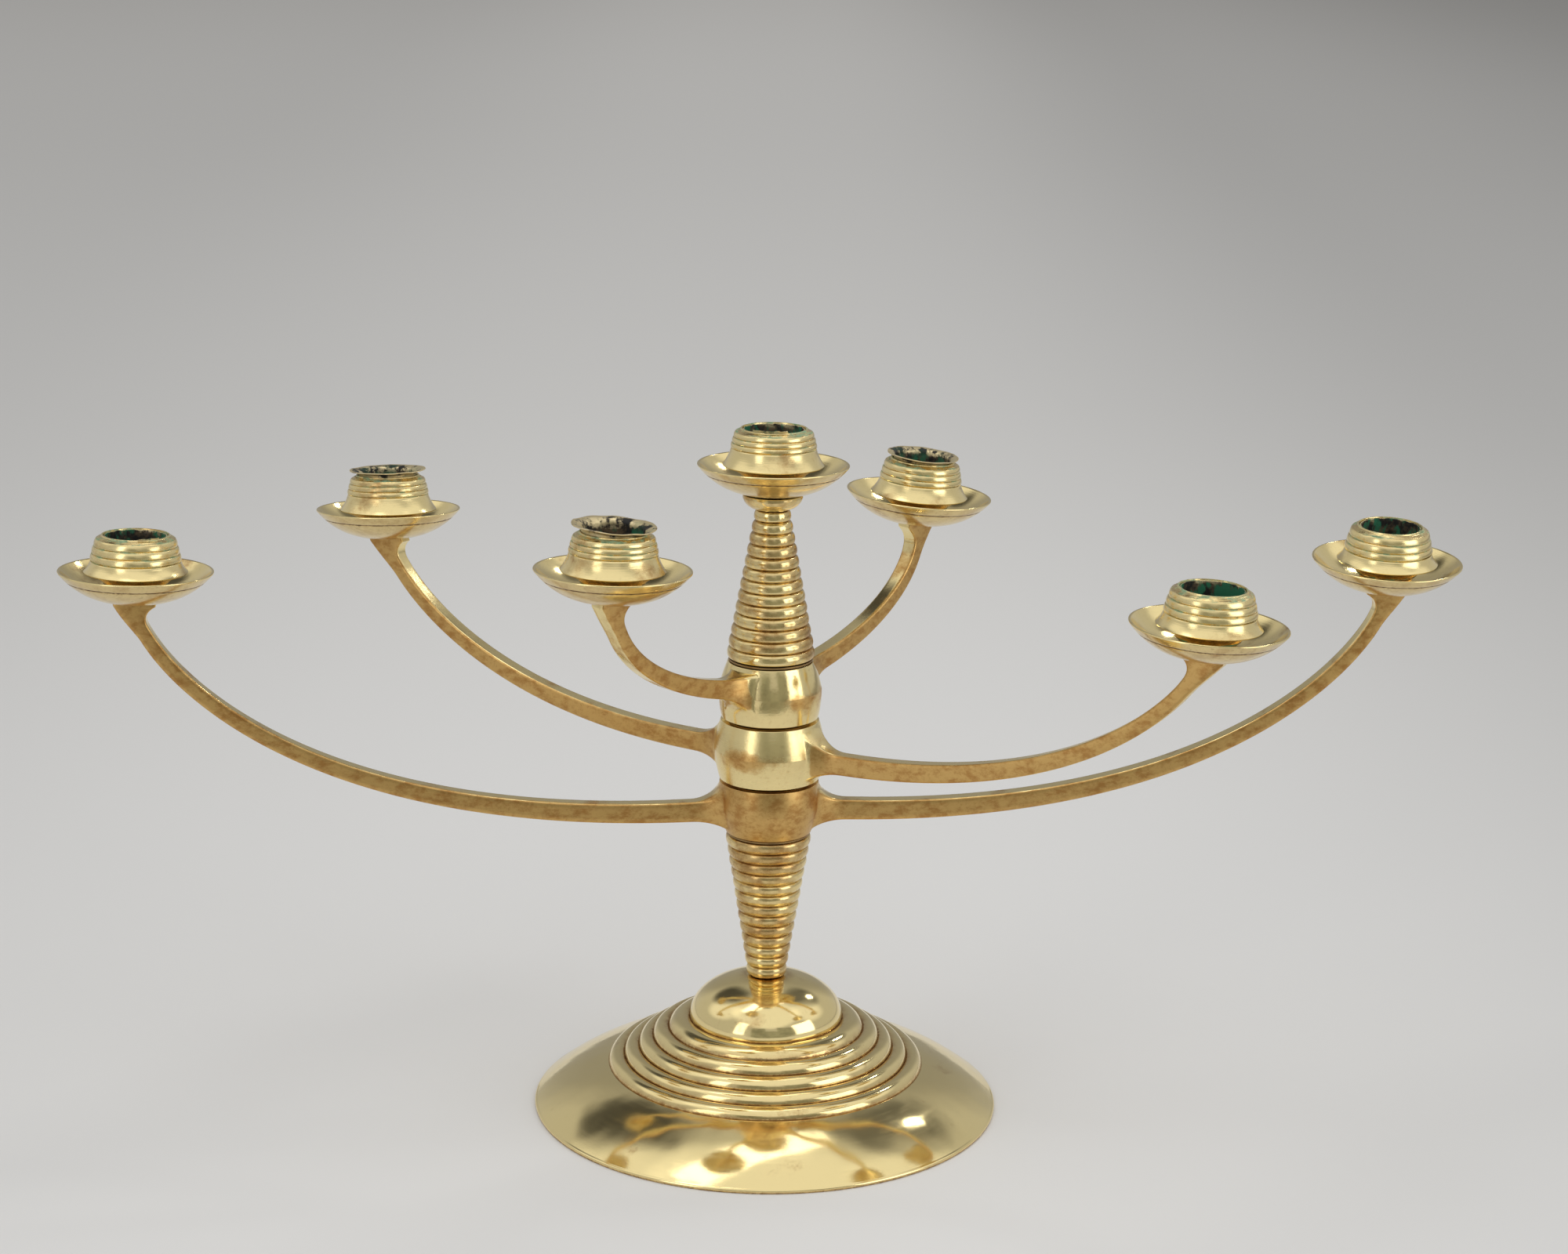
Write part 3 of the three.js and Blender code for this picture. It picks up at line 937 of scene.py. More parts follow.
@dataclass
class HubWashers:
    """The four thin washers that the hubs turn on."""

    bore: float = 3.3
    radius: float = 16.9
    finish: Brass = Brass(
        "washer_finish",
        "washer_brass",
        clean=(0.42, 0.29, 0.13),
        aged=(0.24, 0.15, 0.07),
        film=0.6,
        specks=0.5,
        gloss=(0.35, 0.55),
    )

    def build(self) -> None:
        """Builds and dresses the washers."""
        material = self.finish.material()
        for number in range(1, 5):
            node = f"hub_washer_{number}"
            low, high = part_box(node)
            ring = flat_ring(self.bore, self.radius, (high.z - low.z) / MM)
            bm = lift(ring.spin(96, number * 0.05), low.z)
            dress(settle(bm, f"thin_washer_{number}"), [node], material)


# ---- Lights ---------------------------------------------------------------------------------


@dataclass(frozen=True)
class Lean:
    """How far a light has bent out of true, in degrees."""

    right: float = 0.0  # down towards +X
    front: float = 0.0  # down towards -Y

    def matrix(self) -> Matrix:
        """Returns the turn that the lean makes."""
        over = Matrix.Rotation(math.radians(self.right), 3, "Y")
        return over @ Matrix.Rotation(math.radians(self.front), 3, "X")


@dataclass(frozen=True)
class Flare:
    """A liner's bent rim: how wide and high it stands and how it waves."""

    reach: float = 3.3
    rise: float = 1.7
    tilt: float = 0.5
    tilt_at: float = 150.0
    wave: float = 0.35
    oval: float = 0.5
    oval_at: float = 0.0


@dataclass(frozen=True)
class Remnant:
    """A torn strip of a liner's rim, left on the lip of the cup."""

    middle: float = 270.0  # direction in degrees
    half_width: float = 42.0
    rise: float = 1.5
    reach: float = 1.0


@dataclass(frozen=True)
class LightStyle:
    """What sets one light apart from the next."""

    place: str
    skirt: float = 4.6
    lean: Lean = Lean()
    flare: Flare | None = None
    remnant: Remnant | None = None


LIGHTS = (
    LightStyle("centre", 7.1, Lean(0.35, -1.2), remnant=Remnant(262.0, 38.0, 1.5, 1.6)),
    LightStyle("lower_left", 4.6, Lean(1.5, -2.5), remnant=Remnant(300.0, 24.0, 1.0, 1.4)),
    LightStyle("lower_right", 4.6, Lean(1.3, 3.2)),
    LightStyle("middle_left", 6.8, Lean(-0.7, -4.8), flare=Flare(3.2, 1.5, 0.3, 20.0, 0.2, 0.5, 0.0)),
    LightStyle("middle_right", 4.9, Lean(2.8, 0.6)),
    LightStyle("upper_left", 7.0, Lean(1.4, -1.8), flare=Flare(3.3, 1.9, 0.9, 150.0, 0.45, 0.6, 0.0)),
    LightStyle("upper_right", 6.1, Lean(4.6, -0.4), flare=Flare(2.8, 1.3, 0.5, 170.0, 0.25, 0.3, 60.0)),
)


@dataclass
class CandleLight:
    """One light: a drip pan, a candle cup, the screw through both, and a loose liner."""

    style: LightStyle
    pan_radius: float = 30.25
    pan_height: float = 11.8
    pan_seat: float = 12.0
    pan_wall: float = 1.1
    pan_belly: float = 1.9
    screw_hole: float = 1.9
    cup_foot: float = 10.0
    cup_floor: float = 2.5
    cup_height: float = 24.7
    bore: float = 12.5
    mouth: float = 13.1
    shoulder: Point = (15.0, 23.3)
    skirt_edge: Point = (20.2, 9.7)
    ridges: int = 3
    ridge_rise: float = 0.5
    liner_radius: float = 12.2
    liner_wall: float = 0.5
    liner_floor: float = 5.3
    liner_below_mouth: float = 0.6
    screw_radius: float = 1.6
    screw_head: float = 4.0
    facets: int = 120

    def pan(self) -> Outline:
        """Draws the pan, with two engraved lines on its underside and a thin rounded rim.

        Returns:
            The closed outline, from height 0.
        """
        rim, height, wall = self.pan_radius, self.pan_height, self.pan_wall
        line = Outline().to(self.screw_hole, 0.0, 0.5)
        line.to(self.pan_seat - 1.5, 0.0, 0.6).to(self.pan_seat, 0.12, 0.3)
        under = Outline().to(self.pan_seat, 0.12)
        under.swell(rim - 0.1, height - 0.55, self.pan_belly, 44, power=1.0)
        cuts = (8, 30)
        # The underside is marked half hollow, painted shade with grime, and the two engraved lines fully
        # hollow.
        for i, (radius, z) in enumerate(under.points[1:]):
            if i in cuts:
                line.to(radius - 0.09, z + 0.14, 1.0)
            else:
                line.to(radius, z, 0.45 if i < 42 else 0.1)
        line.bend((rim + 0.05, height - 0.1), (rim - 0.35, height), 4)
        line.bend((rim - wall + 0.1, height), (rim - wall, height - 0.35), 3)
        line.swell(self.pan_seat + 0.3, wall + 0.1, -self.pan_belly, 30, power=1.0)
        # painted shade and grime: the pan's floor darkens towards the cup that stands on it
        for index in range(-8, 0):
            line.hollow[index] = 0.08 * (9 + index)
        return line.to(self.pan_seat - 1.0, wall, 0.7).to(self.screw_hole, wall, 0.6)

    def cup(self) -> Outline:
        """Draws the cup: a flared skirt, three ridges, a sloping shoulder and a thin lip.

        Returns:
            The closed outline, from height 0.
        """
        edge_radius, edge_height = self.skirt_edge
        skirt_top = edge_height + self.style.skirt
        top_radius, top_height = self.shoulder
        groove = top_radius + (2.35 if self.style.skirt < 5.5 else 1.75)
        line = Outline().to(self.screw_hole, 0.0, 0.6)
        line.to(self.cup_foot - 0.4, 0.0, 0.6).to(self.cup_foot, 0.4, 0.6)
        # The skirt's underside is marked half hollow: painted shade over the pan, with grime.
        lower_edge = (edge_radius - 1.6, edge_height - 0.35)
        line.bend((self.cup_foot + 0.6, edge_height - 3.2), lower_edge, 10, 0.45)
        line.to(edge_radius - 0.5, edge_height - 0.12, 0.2)
        line.bend((edge_radius + 0.05, edge_height - 0.05), (edge_radius, edge_height + 0.35), 3)
        corner = (groove + 0.36 * (edge_radius - groove), edge_height + 0.42 * self.style.skirt)
        line.bend(corner, (groove + 0.12, skirt_top - 0.1), 12)
        line.to(groove, skirt_top, 0.45, 1.0)
        step = (top_height - skirt_top) / self.ridges
        for i in range(self.ridges):
            radius = groove + (top_radius - groove) * ((i + 1) / self.ridges) ** 1.25
            line.swell(radius, skirt_top + step * (i + 1), self.ridge_rise, 9, 0.4, 1.0)
        lip, height = self.mouth, self.cup_height
        line.bend((lip + 1.0, height - 0.75), (lip + 0.35, height - 0.55), 5, 0.35, 0.8)
        line.bend((lip + 0.15, height - 0.4), (lip + 0.2, height - 0.2), 2, 0.25, 0.9)
        line.bend((lip + 0.15, height), (lip - 0.25, height), 3, 0.0, 0.8)
        line.bend((self.bore, height), (self.bore, height - 0.4), 2, 0.2, 0.9)
        # The bore and the floor are marked hollow: grime and painted shade inside the cup.
        for i in range(1, 9):
            line.to(self.bore, height - 0.4 - i * (height - self.liner_floor) / 8.2, 0.8, 1.0)
        line.to(self.cup_foot - 0.5, self.cup_floor, 0.8)
        return line.to(self.screw_hole, self.cup_floor, 0.8)

    def liner(self) -> BMesh:
        """Turns the liner and bends its rim.

        Returns:
            The liner, on its own axis.
        """
        outer, inner = self.liner_radius, self.liner_radius - self.liner_wall
        mouth = self.cup_height - self.liner_floor
        flare, remnant = self.style.flare, self.style.remnant
        line = Outline().to(0.0, 0.0, 1.0).to(outer - 0.4, 0.0, 1.0).to(outer, 0.4, 0.6)
        top = mouth + 0.3 if flare else mouth - self.liner_below_mouth
        for i in range(1, 7):
            line.to(outer, 0.4 + i * (top - 0.4) / 6, 0.3, 0.3)
        if flare:
            edge, high = outer + flare.reach, top + flare.rise
            halfway = (outer + flare.reach * 0.5, top + flare.rise * 0.8)
            line.bend((outer + 0.1, top + flare.rise * 0.55), halfway, 5, 0.4)
            line.to(edge, high).bend((edge + 0.25, high + 0.45), (edge - 0.3, high + 0.4), 3)
            line.bend((inner + 0.2, high), (inner, top), 6, 0.5, 0.2)
        else:
            line.to(outer - 0.1, top + 0.12, 0.4, 0.6).to(inner + 0.1, top + 0.12, 0.4, 0.6)
            line.to(inner, top, 0.6, 1.0)
        for i in range(1, 9):
            line.to(inner, top - i * (top - self.liner_wall) / 8.3, 0.85, 1.0)
        line.to(inner - 0.6, self.liner_wall, 1.0).to(0.0, self.liner_wall, 1.0)
        bm = line.spin(96, self.seed)
        if flare:
            self.wave_rim(bm, flare, (mouth - 0.4) * MM)
        if remnant:
            self.tear_rim(bm, remnant, (mouth - 3.5) * MM)
        return bm

    def wave_rim(self, bm: BMesh, flare: Flare, start: float) -> None:
        """Bends a flared rim out of true.

        Args:
            bm: The turned liner.
            flare: How the rim is bent.
            start: Height where the bending starts, in metres.
        """
        for vert in bm.verts:
            x, y, z = vert.co
            share = max(0.0, min(1.0, (z - start) / (2.2 * MM)))
            if not share:
                continue
            angle = math.atan2(y, x)
            up = flare.tilt * math.cos(angle - math.radians(flare.tilt_at))
            up += flare.wave * noise.noise(Vector((2.2 * x / MM / 15, 2.2 * y / MM / 15, self.seed)))
            out = flare.oval * math.cos(2 * (angle - math.radians(flare.oval_at)))
            ragged = noise.noise(Vector((3 * x / MM / 15, 3 * y / MM / 15, 7 + self.seed)))
            out += 0.5 * flare.wave * ragged
            scale = 1 + share * out * MM / math.hypot(x, y)
            vert.co = Vector((x * scale, y * scale, z + share * up * MM))

    def tear_rim(self, bm: BMesh, remnant: Remnant, start: float) -> None:
        """Pulls a torn strip of the rim up and out over the cup's lip.

        Args:
            bm: The turned liner.
            remnant: Where the strip is and how far it stands.
            start: Height where the strip starts, in metres.
        """
        top = max(vert.co.z for vert in bm.verts)
        for vert in bm.verts:
            x, y, z = vert.co
            if z < start:
                continue
            share = (z - start) / (top - start)
            angle = math.degrees(math.atan2(y, x)) - remnant.middle
            angle = abs((angle + 180) % 360 - 180) / remnant.half_width
            ragged = 0.25 * noise.noise(Vector((900 * x, 900 * y, self.seed)))
            edge = max(0.0, min(1.0, 5 * (1 + ragged - angle)))
            rough = 0.25 * noise.noise(Vector((500 * x, 500 * y, 3 + self.seed)))
            rise = (remnant.rise + ragged) * edge + rough
            out = 1 + share**3 * edge * remnant.reach * MM / math.hypot(x, y)
            vert.co = Vector((x * out, y * out, z + share * rise * MM))

    def screw(self) -> BMesh:
        """Turns the screw and cuts the slot in its head.

        Returns:
            The screw, on its own axis.
        """
        low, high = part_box("cup_screw_" + self.style.place)
        length, head = (high.z - low.z) / MM, self.screw_head
        line = Outline().to(0.0, 0.0).to(self.screw_radius - 0.5, 0.0)
        line.to(self.screw_radius, 0.6).to(self.screw_radius, length - 2.2).to(head - 0.2, length - 2.2)
        line.bend((head, length - 2.2), (head, length - 1.9), 2).to(head, length - 1.0)
        line.bend((head - 0.1, length - 0.05), (head / 2, length), 6).to(0.0, length)
        slot = bmesh.new()
        bmesh.ops.create_cube(slot, size=1.0)
        bmesh.ops.scale(slot, verts=slot.verts, vec=(3 * head * MM, 0.9 * MM, 1.6 * MM))
        return fuse(line.spin(48), lift(slot, length * MM), Fusion.CUT)

    @property
    def seed(self) -> float:
        """A number that sets this light's patterns apart."""
        return 0.11 * (1 + [style.place for style in LIGHTS].index(self.style.place))

    def stand(self, bm: BMesh, node: str) -> BMesh:
        """Moves a piece from its own axis to its place in the frame, with the light's lean.

        Args:
            bm: The piece, on its own axis and standing on height 0.
            node: The frame part whose place it takes.

        Returns:
            The same mesh.
        """
        low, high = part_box("drip_pan_" + self.style.place)
        seat = Vector(((low.x + high.x) / 2, (low.y + high.y) / 2, low.z))
        lift(bm, base_height(node) - seat.z)
        bmesh.ops.rotate(bm, verts=bm.verts, cent=(0, 0, 0), matrix=self.style.lean.matrix())
        bmesh.ops.translate(bm, verts=bm.verts, vec=seat)
        return bm

    def build(self, finishes: dict[str, bpy.types.Material]) -> None:
        """Builds and dresses the light's four pieces.

        Args:
            finishes: The lights' materials by name of piece.
        """
        place = self.style.place
        for kind, name, slot, bm in (
            ("drip_pan", "dish", "pan_brass", self.pan().spin(self.facets, self.seed)),
            ("candle_cup", "cup", "cup_brass", self.cup().spin(self.facets, self.seed)),
            ("cup_screw", "screw", "screw_steel", self.screw()),
            ("liner", "lining", "liner_brass", self.liner()),
        ):
            node = f"{kind}_{place}"
            dress(settle(self.stand(bm, node), f"{name}_{place}"), [node], finishes[kind])


def build_lights() -> None:
    """Builds the seven lights."""
    finishes = {
        "drip_pan": Brass(
            "dish_finish",
            "pan_brass",
            aged=(0.58, 0.40, 0.18),
            film=0.35,
            specks=0.35,
            gloss=(0.13, 0.24),
            marks=0.25,
            dents=0.08,
        ).material(),
        "candle_cup": Brass(
            "cup_finish",
            "cup_brass",
            film=0.42,
            specks=0.3,
            gloss=(0.2, 0.34),
            marks=0.6,
            dents=0.05,
            verdigris=0.9,
        ).material(),
        "cup_screw": Steel("screw_finish", "screw_steel", rusted=0.7).material(),
        "liner": Lining("lining_finish").material(),
    }
    for style in LIGHTS:
        CandleLight(style).build(finishes)


# ---- Arms -----------------------------------------------------------------------------------


@dataclass(frozen=True)
class ArmCurve:
    """The centre line of an arm in its own plane: distance from the axis, and height."""

    start: float
    sag: Point
    bend: Point
    end: Point

    def at(self, t: float) -> Vector:
        """Finds a point of the curve.

        Args:
            t: The point's share of the curve, from 0 to 1.

        Returns:
            Its distance from the axis and its height.
        """
        knots = ((0.0, self.start), self.sag, self.bend, self.end)
        weights = ((1 - t) ** 3, 3 * t * (1 - t) ** 2, 3 * t * t * (1 - t), t**3)
        pairs = list(zip(weights, knots, strict=True))
        return Vector([sum(weight * knot[i] for weight, knot in pairs) for i in (0, 1)])

    def heading(self, t: float) -> Vector:
        """Returns the direction at t, a share of the curve."""
        low, high = max(t - 0.001, 0.0), min(t + 0.001, 1.0)
        return (self.at(high) - self.at(low)).normalized()

    def share_at(self, reach: float) -> float:
        """Finds where the curve has gone out a given way.

        Args:
            reach: Distance from the axis.

        Returns:
            The share of the curve, from 0 to 1.
        """
        low, high = 0.0, 1.0
        for _ in range(40):
            middle = (low + high) / 2
            if self.at(middle).x < reach:
                low = middle
            else:
                high = middle
        return low


def ring_section(half_width: float, top: float, bottom: float, corner: float) -> list[Point]:
    """Draws a rounded rectangle as across and up values, always with the same number of points.

    Args:
        half_width: Half of its width.
        top: How far it stands above the middle.
        bottom: How far it stands below the middle.
        corner: Radius of its corners.

    Returns:
        Its 36 points in order.
    """
    corners = (
        (half_width - corner, top - corner, 0.0),
        (-half_width + corner, top - corner, 90.0),
        (-half_width + corner, -bottom + corner, 180.0),
        (half_width - corner, -bottom + corner, 270.0),
    )
    points = []
    for i, (across, up, turn) in enumerate(corners):
        for step in range(5):
            angle = math.radians(turn + 22.5 * step)
            points.append((across + corner * math.cos(angle), up + corner * math.sin(angle)))
        next_across, next_up, next_turn = corners[(i + 1) % 4]
        angle = math.radians(next_turn)
        ahead = (next_across + corner * math.cos(angle), next_up + corner * math.sin(angle))
        last = points[-1]
        for step in range(1, 5):
            points.append(tuple(a + (b - a) * step / 5 for a, b in zip(last, ahead, strict=True)))
    return points


@dataclass
class ArmPair:
    """A hub with a pair of curved arms, cast in one piece."""

    level: str
    hub_height: float
    hub_bottom: float
    hub_belly: float
    hub_top: float
    start: float
    sag: Point  # out along the arm, and below the start
    bend: Point  # in from the seat, and below it
    rise: float
    finish: Brass
    root_reach: tuple[float, float] = (0.8, 1.2)  # how far the roots stay from the hub's top and bottom
    hub_crown: float = 0.3
    bar_width: float = 6.5
    bar_root: float = 8.7
    bar_tip: float = 5.6
    bar_edge: float = 0.9
    fillet: float = 11.0
    flank_fillet: float = 5.2
    pad_length: float = 16.6
    bore: float = 3.3
    screw_hole: float = 1.9
    screw_depth: float = 7.3
    facets: int = 120

    def hub_outline(self) -> Outline:
        """Draws the hub: a barrel with a bore and slightly broken rims.

        Returns:
            The closed outline, from height 0.
        """
        middle = self.hub_height / 2
        # The rims by the washers are marked hollow: grime and painted shade between the hubs.
        line = Outline().to(self.bore, 0.0, 0.5).to(self.hub_bottom - 0.2, 0.0, 0.7)
        line.bend((self.hub_bottom, 0.0), (self.hub_bottom + 0.02, 0.2), 3, 0.25)
        line.swell(self.hub_belly, middle, self.hub_crown, 16, power=1.0)
        line.swell(self.hub_top + 0.04, self.hub_height - 0.2, self.hub_crown, 16, power=1.0)
        line.bend((self.hub_top, self.hub_height), (self.hub_top - 0.2, self.hub_height), 3, 0.25)
        return line.to(self.bore, self.hub_height, 0.5)

    def hub_radius(self, height: float) -> float:
        """Finds how wide the hub is.

        Args:
            height: Height above the hub's underside.

        Returns:
            The hub's radius there.
        """
        points = [p for p in self.hub_outline().points if p[0] > self.bore + 1]
        for (r0, z0), (r1, z1) in pairwise(points):
            if z0 <= height <= z1 and z1 > z0:
                return r0 + (r1 - r0) * (height - z0) / (z1 - z0)
        return points[0][0] if height < points[0][1] else points[-1][0]

    def bar_section(self, share: float, below_seat: float, outer: bool) -> float:
        """Returns how far one edge of the bar stands off its centre line.

        Args:
            share: Distance from the axis as a share of the arm's reach.
            below_seat: Height below the seat.
            outer: True for the edge that faces away from the stem and down.

        Returns:
            The distance.
        """
        half = (self.bar_root + (self.bar_tip - self.bar_root) * share) / 2
        full = self.pad_length / 2
        start, pad, power = (14.5, 1.6, 1.7) if outer else (11.0, 1.9, 2.4)
        near = max(0.0, min(1.0, 1 - (below_seat - pad) / (start - pad)))
        return half + (full - half) * near**power

    def arm(self, direction: float, reach: float, lean: Matrix) -> BMesh:
        """Makes one arm, from a root inside the hub to its flat seat.

        Args:
            direction: Where it points, in radians.
            reach: Distance of its seat from the axis.
            lean: The turn of its seat.

        Returns:
            A closed mesh in metres, standing on the hub's underside.
        """
        curve = ArmCurve(
            self.start,
            (self.sag[0], self.start - self.sag[1]),
            (reach - self.bend[0], self.rise - self.bend[1]),
            (reach, self.rise),
        )
        bm = bmesh.new()
        place = bm.verts.layers.int.new("place")
        turn = Matrix.Rotation(direction, 3, "Z")
        rings = [*self.root_rings(curve), *self.bar_rings(curve, turn.inverted() @ lean @ turn)]
        edges: Sequence[BMEdge] = ()
        for ring in rings:
            if not edges:
                made = bmesh.ops.create_circle(bm, segments=len(ring), radius=1.0)["verts"]
                bm.verts.index_update()
                for i, vert in enumerate(sorted(made, key=lambda v: math.atan2(v.co.y, v.co.x))):
                    vert[place] = i
                edges, verts = bm.edges[:], made
            else:
                pulled = bmesh.ops.extrude_edge_only(bm, edges=edges)["geom"]
                edges = [item for item in pulled if isinstance(item, BMEdge)]
                verts = [item for item in pulled if isinstance(item, BMVert)]
                edges = [edge for edge in edges if all(vert in verts for vert in edge.verts)]
            for vert in verts:
                vert.co = ring[vert[place]]
        bmesh.ops.holes_fill(bm, edges=[edge for edge in bm.edges if edge.is_boundary])
        bmesh.ops.scale(bm, verts=bm.verts, vec=(MM, MM, MM))
        bmesh.ops.rotate(bm, verts=bm.verts, cent=(0, 0, 0), matrix=turn)
        bmesh.ops.recalc_face_normals(bm, faces=bm.faces)
        return bm

    def root_rings(self, curve: ArmCurve) -> list[list[Vector]]:
        """Draws the rings of an arm's root, which flows out of the hub's face.

        Args:
            curve: The arm's centre line.

        Returns:
            Rings from inside the hub to the plain bar, without the bar's own first ring.
        """
        out = self.hub_belly + self.fillet
        share = curve.share_at(out)
        middle, heading = curve.at(share), curve.heading(share)
        normal = Vector((-heading.y, heading.x))
        half = self.bar_section(out / curve.end[0], 99.0, False)
        plain = ring_section(self.bar_width / 2, half, half, self.bar_edge)
        ends = [Vector((middle.x + v * normal.x, u, middle.y + v * normal.y)) for u, v in plain]
        below, above = self.root_reach[1], self.hub_height - self.root_reach[0]
        centre = (below + above) / 2
        wide = self.bar_width / 2 + self.flank_fillet
        root = ring_section(wide, above - centre, centre - below, 2.2)
        starts, leaves = [], []
        for (across, up), end in zip(root, ends, strict=True):
            height = centre + up
            radius = self.hub_radius(height) - 0.06
            start = Vector((math.sqrt(radius**2 - across**2), across, height))
            slope = self.hub_radius(height + 0.5) - self.hub_radius(height - 0.5)
            face = Vector((start.x / radius, across / radius, -slope)).normalized()
            way = Vector((0.0, end.y - across, end.z - height))
            starts.append(start)
            leaves.append((way - way.dot(face) * face) * 1.5)
        rings = [[Vector((p.x - 3.0, p.y * 0.9, centre + (p.z - centre) * 0.9)) for p in starts]]
        for step in range(13):
            t = step / 13
            h = (2 * t**3 - 3 * t**2 + 1, t**3 - 2 * t**2 + t, 3 * t**2 - 2 * t**3, t**3 - t**2)
            ring = []
            for start, leave, end in zip(starts, leaves, ends, strict=True):
                pull = (end.x - start.x) * 1.5
                arrive = Vector((heading.x, 0.0, heading.y)) * pull
                ring.append(h[0] * start + h[1] * leave + h[2] * end + h[3] * arrive)
            rings.append(ring)
        return rings

    def bar_rings(self, curve: ArmCurve, lean: Matrix) -> list[list[Vector]]:
        """Draws the rings of the plain bar and of the pad at its end.

        Args:
            curve: The arm's centre line.
            lean: The turn of the seat in the arm's own directions.

        Returns:
            Rings from the root's end to the seat.
        """
        first = curve.share_at(self.hub_belly + self.fillet)
        reach, rise = curve.end
        count = 46 + round(reach / 3)
        seat = Vector((reach, 0.0, rise))
        rings = []
        for i in range(count + 1):
            t = first + (1 - first) * (i / count) ** 0.8
            middle, heading = curve.at(t), curve.heading(t)
            below = rise - middle.y
            level = max(0.0, min(1.0, 1 - below / 15.0)) ** 1.3
            normal = Vector((-heading.y, heading.x)).lerp(Vector((-1.0, 0.0)), level).normalized()
            share = middle.x / reach
            inner, outer = (self.bar_section(share, below, side) for side in (False, True))
            section = ring_section(self.bar_width / 2, inner, outer, self.bar_edge)
            ring = [Vector((middle.x + v * normal.x, u, middle.y + v * normal.y)) for u, v in section]
            tilt = max(0.0, min(1.0, 1 - below / 14.0))
            leant = [seat + lean @ (point - seat) for point in ring]
            rings.append([a.lerp(b, tilt) for a, b in zip(ring, leant, strict=True)])
        return rings

    def mark_wear_and_shade(self, bm: BMesh, directions: Sequence[float]) -> None:
        """Writes where the casting is sheltered (its hollow value: grime and painted shade), flat-sided
        or part of the hub.

        Args:
            bm: The casting, standing on the hub's underside.
            directions: Where its arms point, in radians.
        """
        flank = bm.verts.layers.float.new(Mark.FLANK.value)
        boss = bm.verts.layers.float.new(Mark.BOSS.value)
        hollow = bm.verts.layers.float[Mark.HOLLOW.value]
        turning = bm.verts.layers.float_vector[Mark.TURNING.value]
        bm.normal_update()
        for vert in bm.verts:
            radius = math.hypot(vert.co.x, vert.co.y) / MM
            angle = math.atan2(vert.co.y, vert.co.x)
            nearest = min(directions, key=lambda d: abs((angle - d + math.pi) % math.tau - math.pi))
            across = Vector((-math.sin(nearest), math.cos(nearest), 0.0))
            on_hub = max(0.0, min(1.0, (self.hub_belly + 1.5 - radius) / 3))
            root = math.exp(-max(0.0, radius - self.hub_belly) / 7)
            vert[flank] = abs(vert.normal.dot(across)) ** 2 * (1 - on_hub)
            vert[boss] = on_hub
            # painted shade and grime: the roots darken next to the hub, and the bore too
            vert[hollow] = 0.3 * root * (1 - on_hub) if radius > self.bore + 1 else 0.8
            along_bar = Vector((vert.co.z, vert.co.dot(across), 0.3 * radius * MM))
            vert[turning] = along_bar.lerp(vert.co, on_hub)

    def build(self) -> None:
        """Builds and dresses the casting."""
        node = f"{self.level}_arms"
        bm = self.hub_outline().spin(self.facets)
        directions, seats = [], []
        for side in ("right", "left"):
            low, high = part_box(f"drip_pan_{self.level}_{side}")
            seat = Vector(((low.x + high.x) / 2, (low.y + high.y) / 2, 0.0))
            lean = next(s.lean for s in LIGHTS if s.place == f"{self.level}_{side}").matrix()
            directions.append(math.atan2(seat.y, seat.x))
            seats.append(seat)
            bm = fuse(bm, self.arm(directions[-1], seat.length / MM, lean), Fusion.JOIN)
        for seat in seats:
            hole = pin(self.screw_hole * MM, 2 * self.screw_depth * MM, 24)
            bmesh.ops.translate(hole, verts=hole.verts, vec=seat + Vector((0, 0, self.rise * MM)))
            bm = fuse(bm, hole, Fusion.CUT)
        self.mark_wear_and_shade(bm, directions)
        casting = settle(lift(bm, base_height(node)), f"{self.level}_arms_casting", 32.0)
        dress(casting, [node], self.finish.material())


def arm_finish(level: str, **looks: object) -> Brass:
    """Returns the finish of one pair of arms.

    Args:
        level: Which pair it is.
        **looks: Values that differ from the usual ones.

    Returns:
        The finish.
    """
    usual = {
        "aged": (0.66, 0.425, 0.155),
        "brown": (0.47, 0.245, 0.075),
        "film": 0.45,
        "specks": 0.6,
        "gloss": (0.1, 0.34),
        "marks": 0.1,
        "dents": 0.08,
        "flank_film": 1.0,
    }
    return Brass(f"{level}_arms_finish", "arm_brass", **{**usual, **looks})


def build_arms() -> None:
    """Builds the three pairs of arms."""
    lower = arm_finish("lower", boss_film=0.4)
    middle = arm_finish("middle", boss_clean=0.24, gloss=(0.24, 0.34))
    upper = arm_finish("upper", boss_clean=0.15)
    ArmPair(
        level="lower",
        hub_height=21.2,
        hub_bottom=17.4,
        hub_belly=20.4,
        hub_top=20.0,
        start=10.4,
        sag=(202.8, 18.0),
        bend=(-5.7, 11.0),
        rise=98.3,
        finish=lower,
    ).build()
    ArmPair(
        level="middle",
        hub_height=24.3,
        hub_bottom=20.2,
        hub_belly=22.4,
        hub_top=19.8,
        start=11.2,
        sag=(133.1, 9.5),
        bend=(4.3, 17.4),
        rise=76.5,
        finish=middle,
    ).build()
    ArmPair(
        level="upper",
        hub_height=22.9,
        hub_bottom=19.6,
        hub_belly=20.7,
        hub_top=17.2,
        start=13.5,
        sag=(36.8, -0.8),
        bend=(-1.2, 33.7),
        rise=64.6,
        finish=upper,
        root_reach=(1.6, 3.6),
    ).build()


# ---- Studio ---------------------------------------------------------------------------------


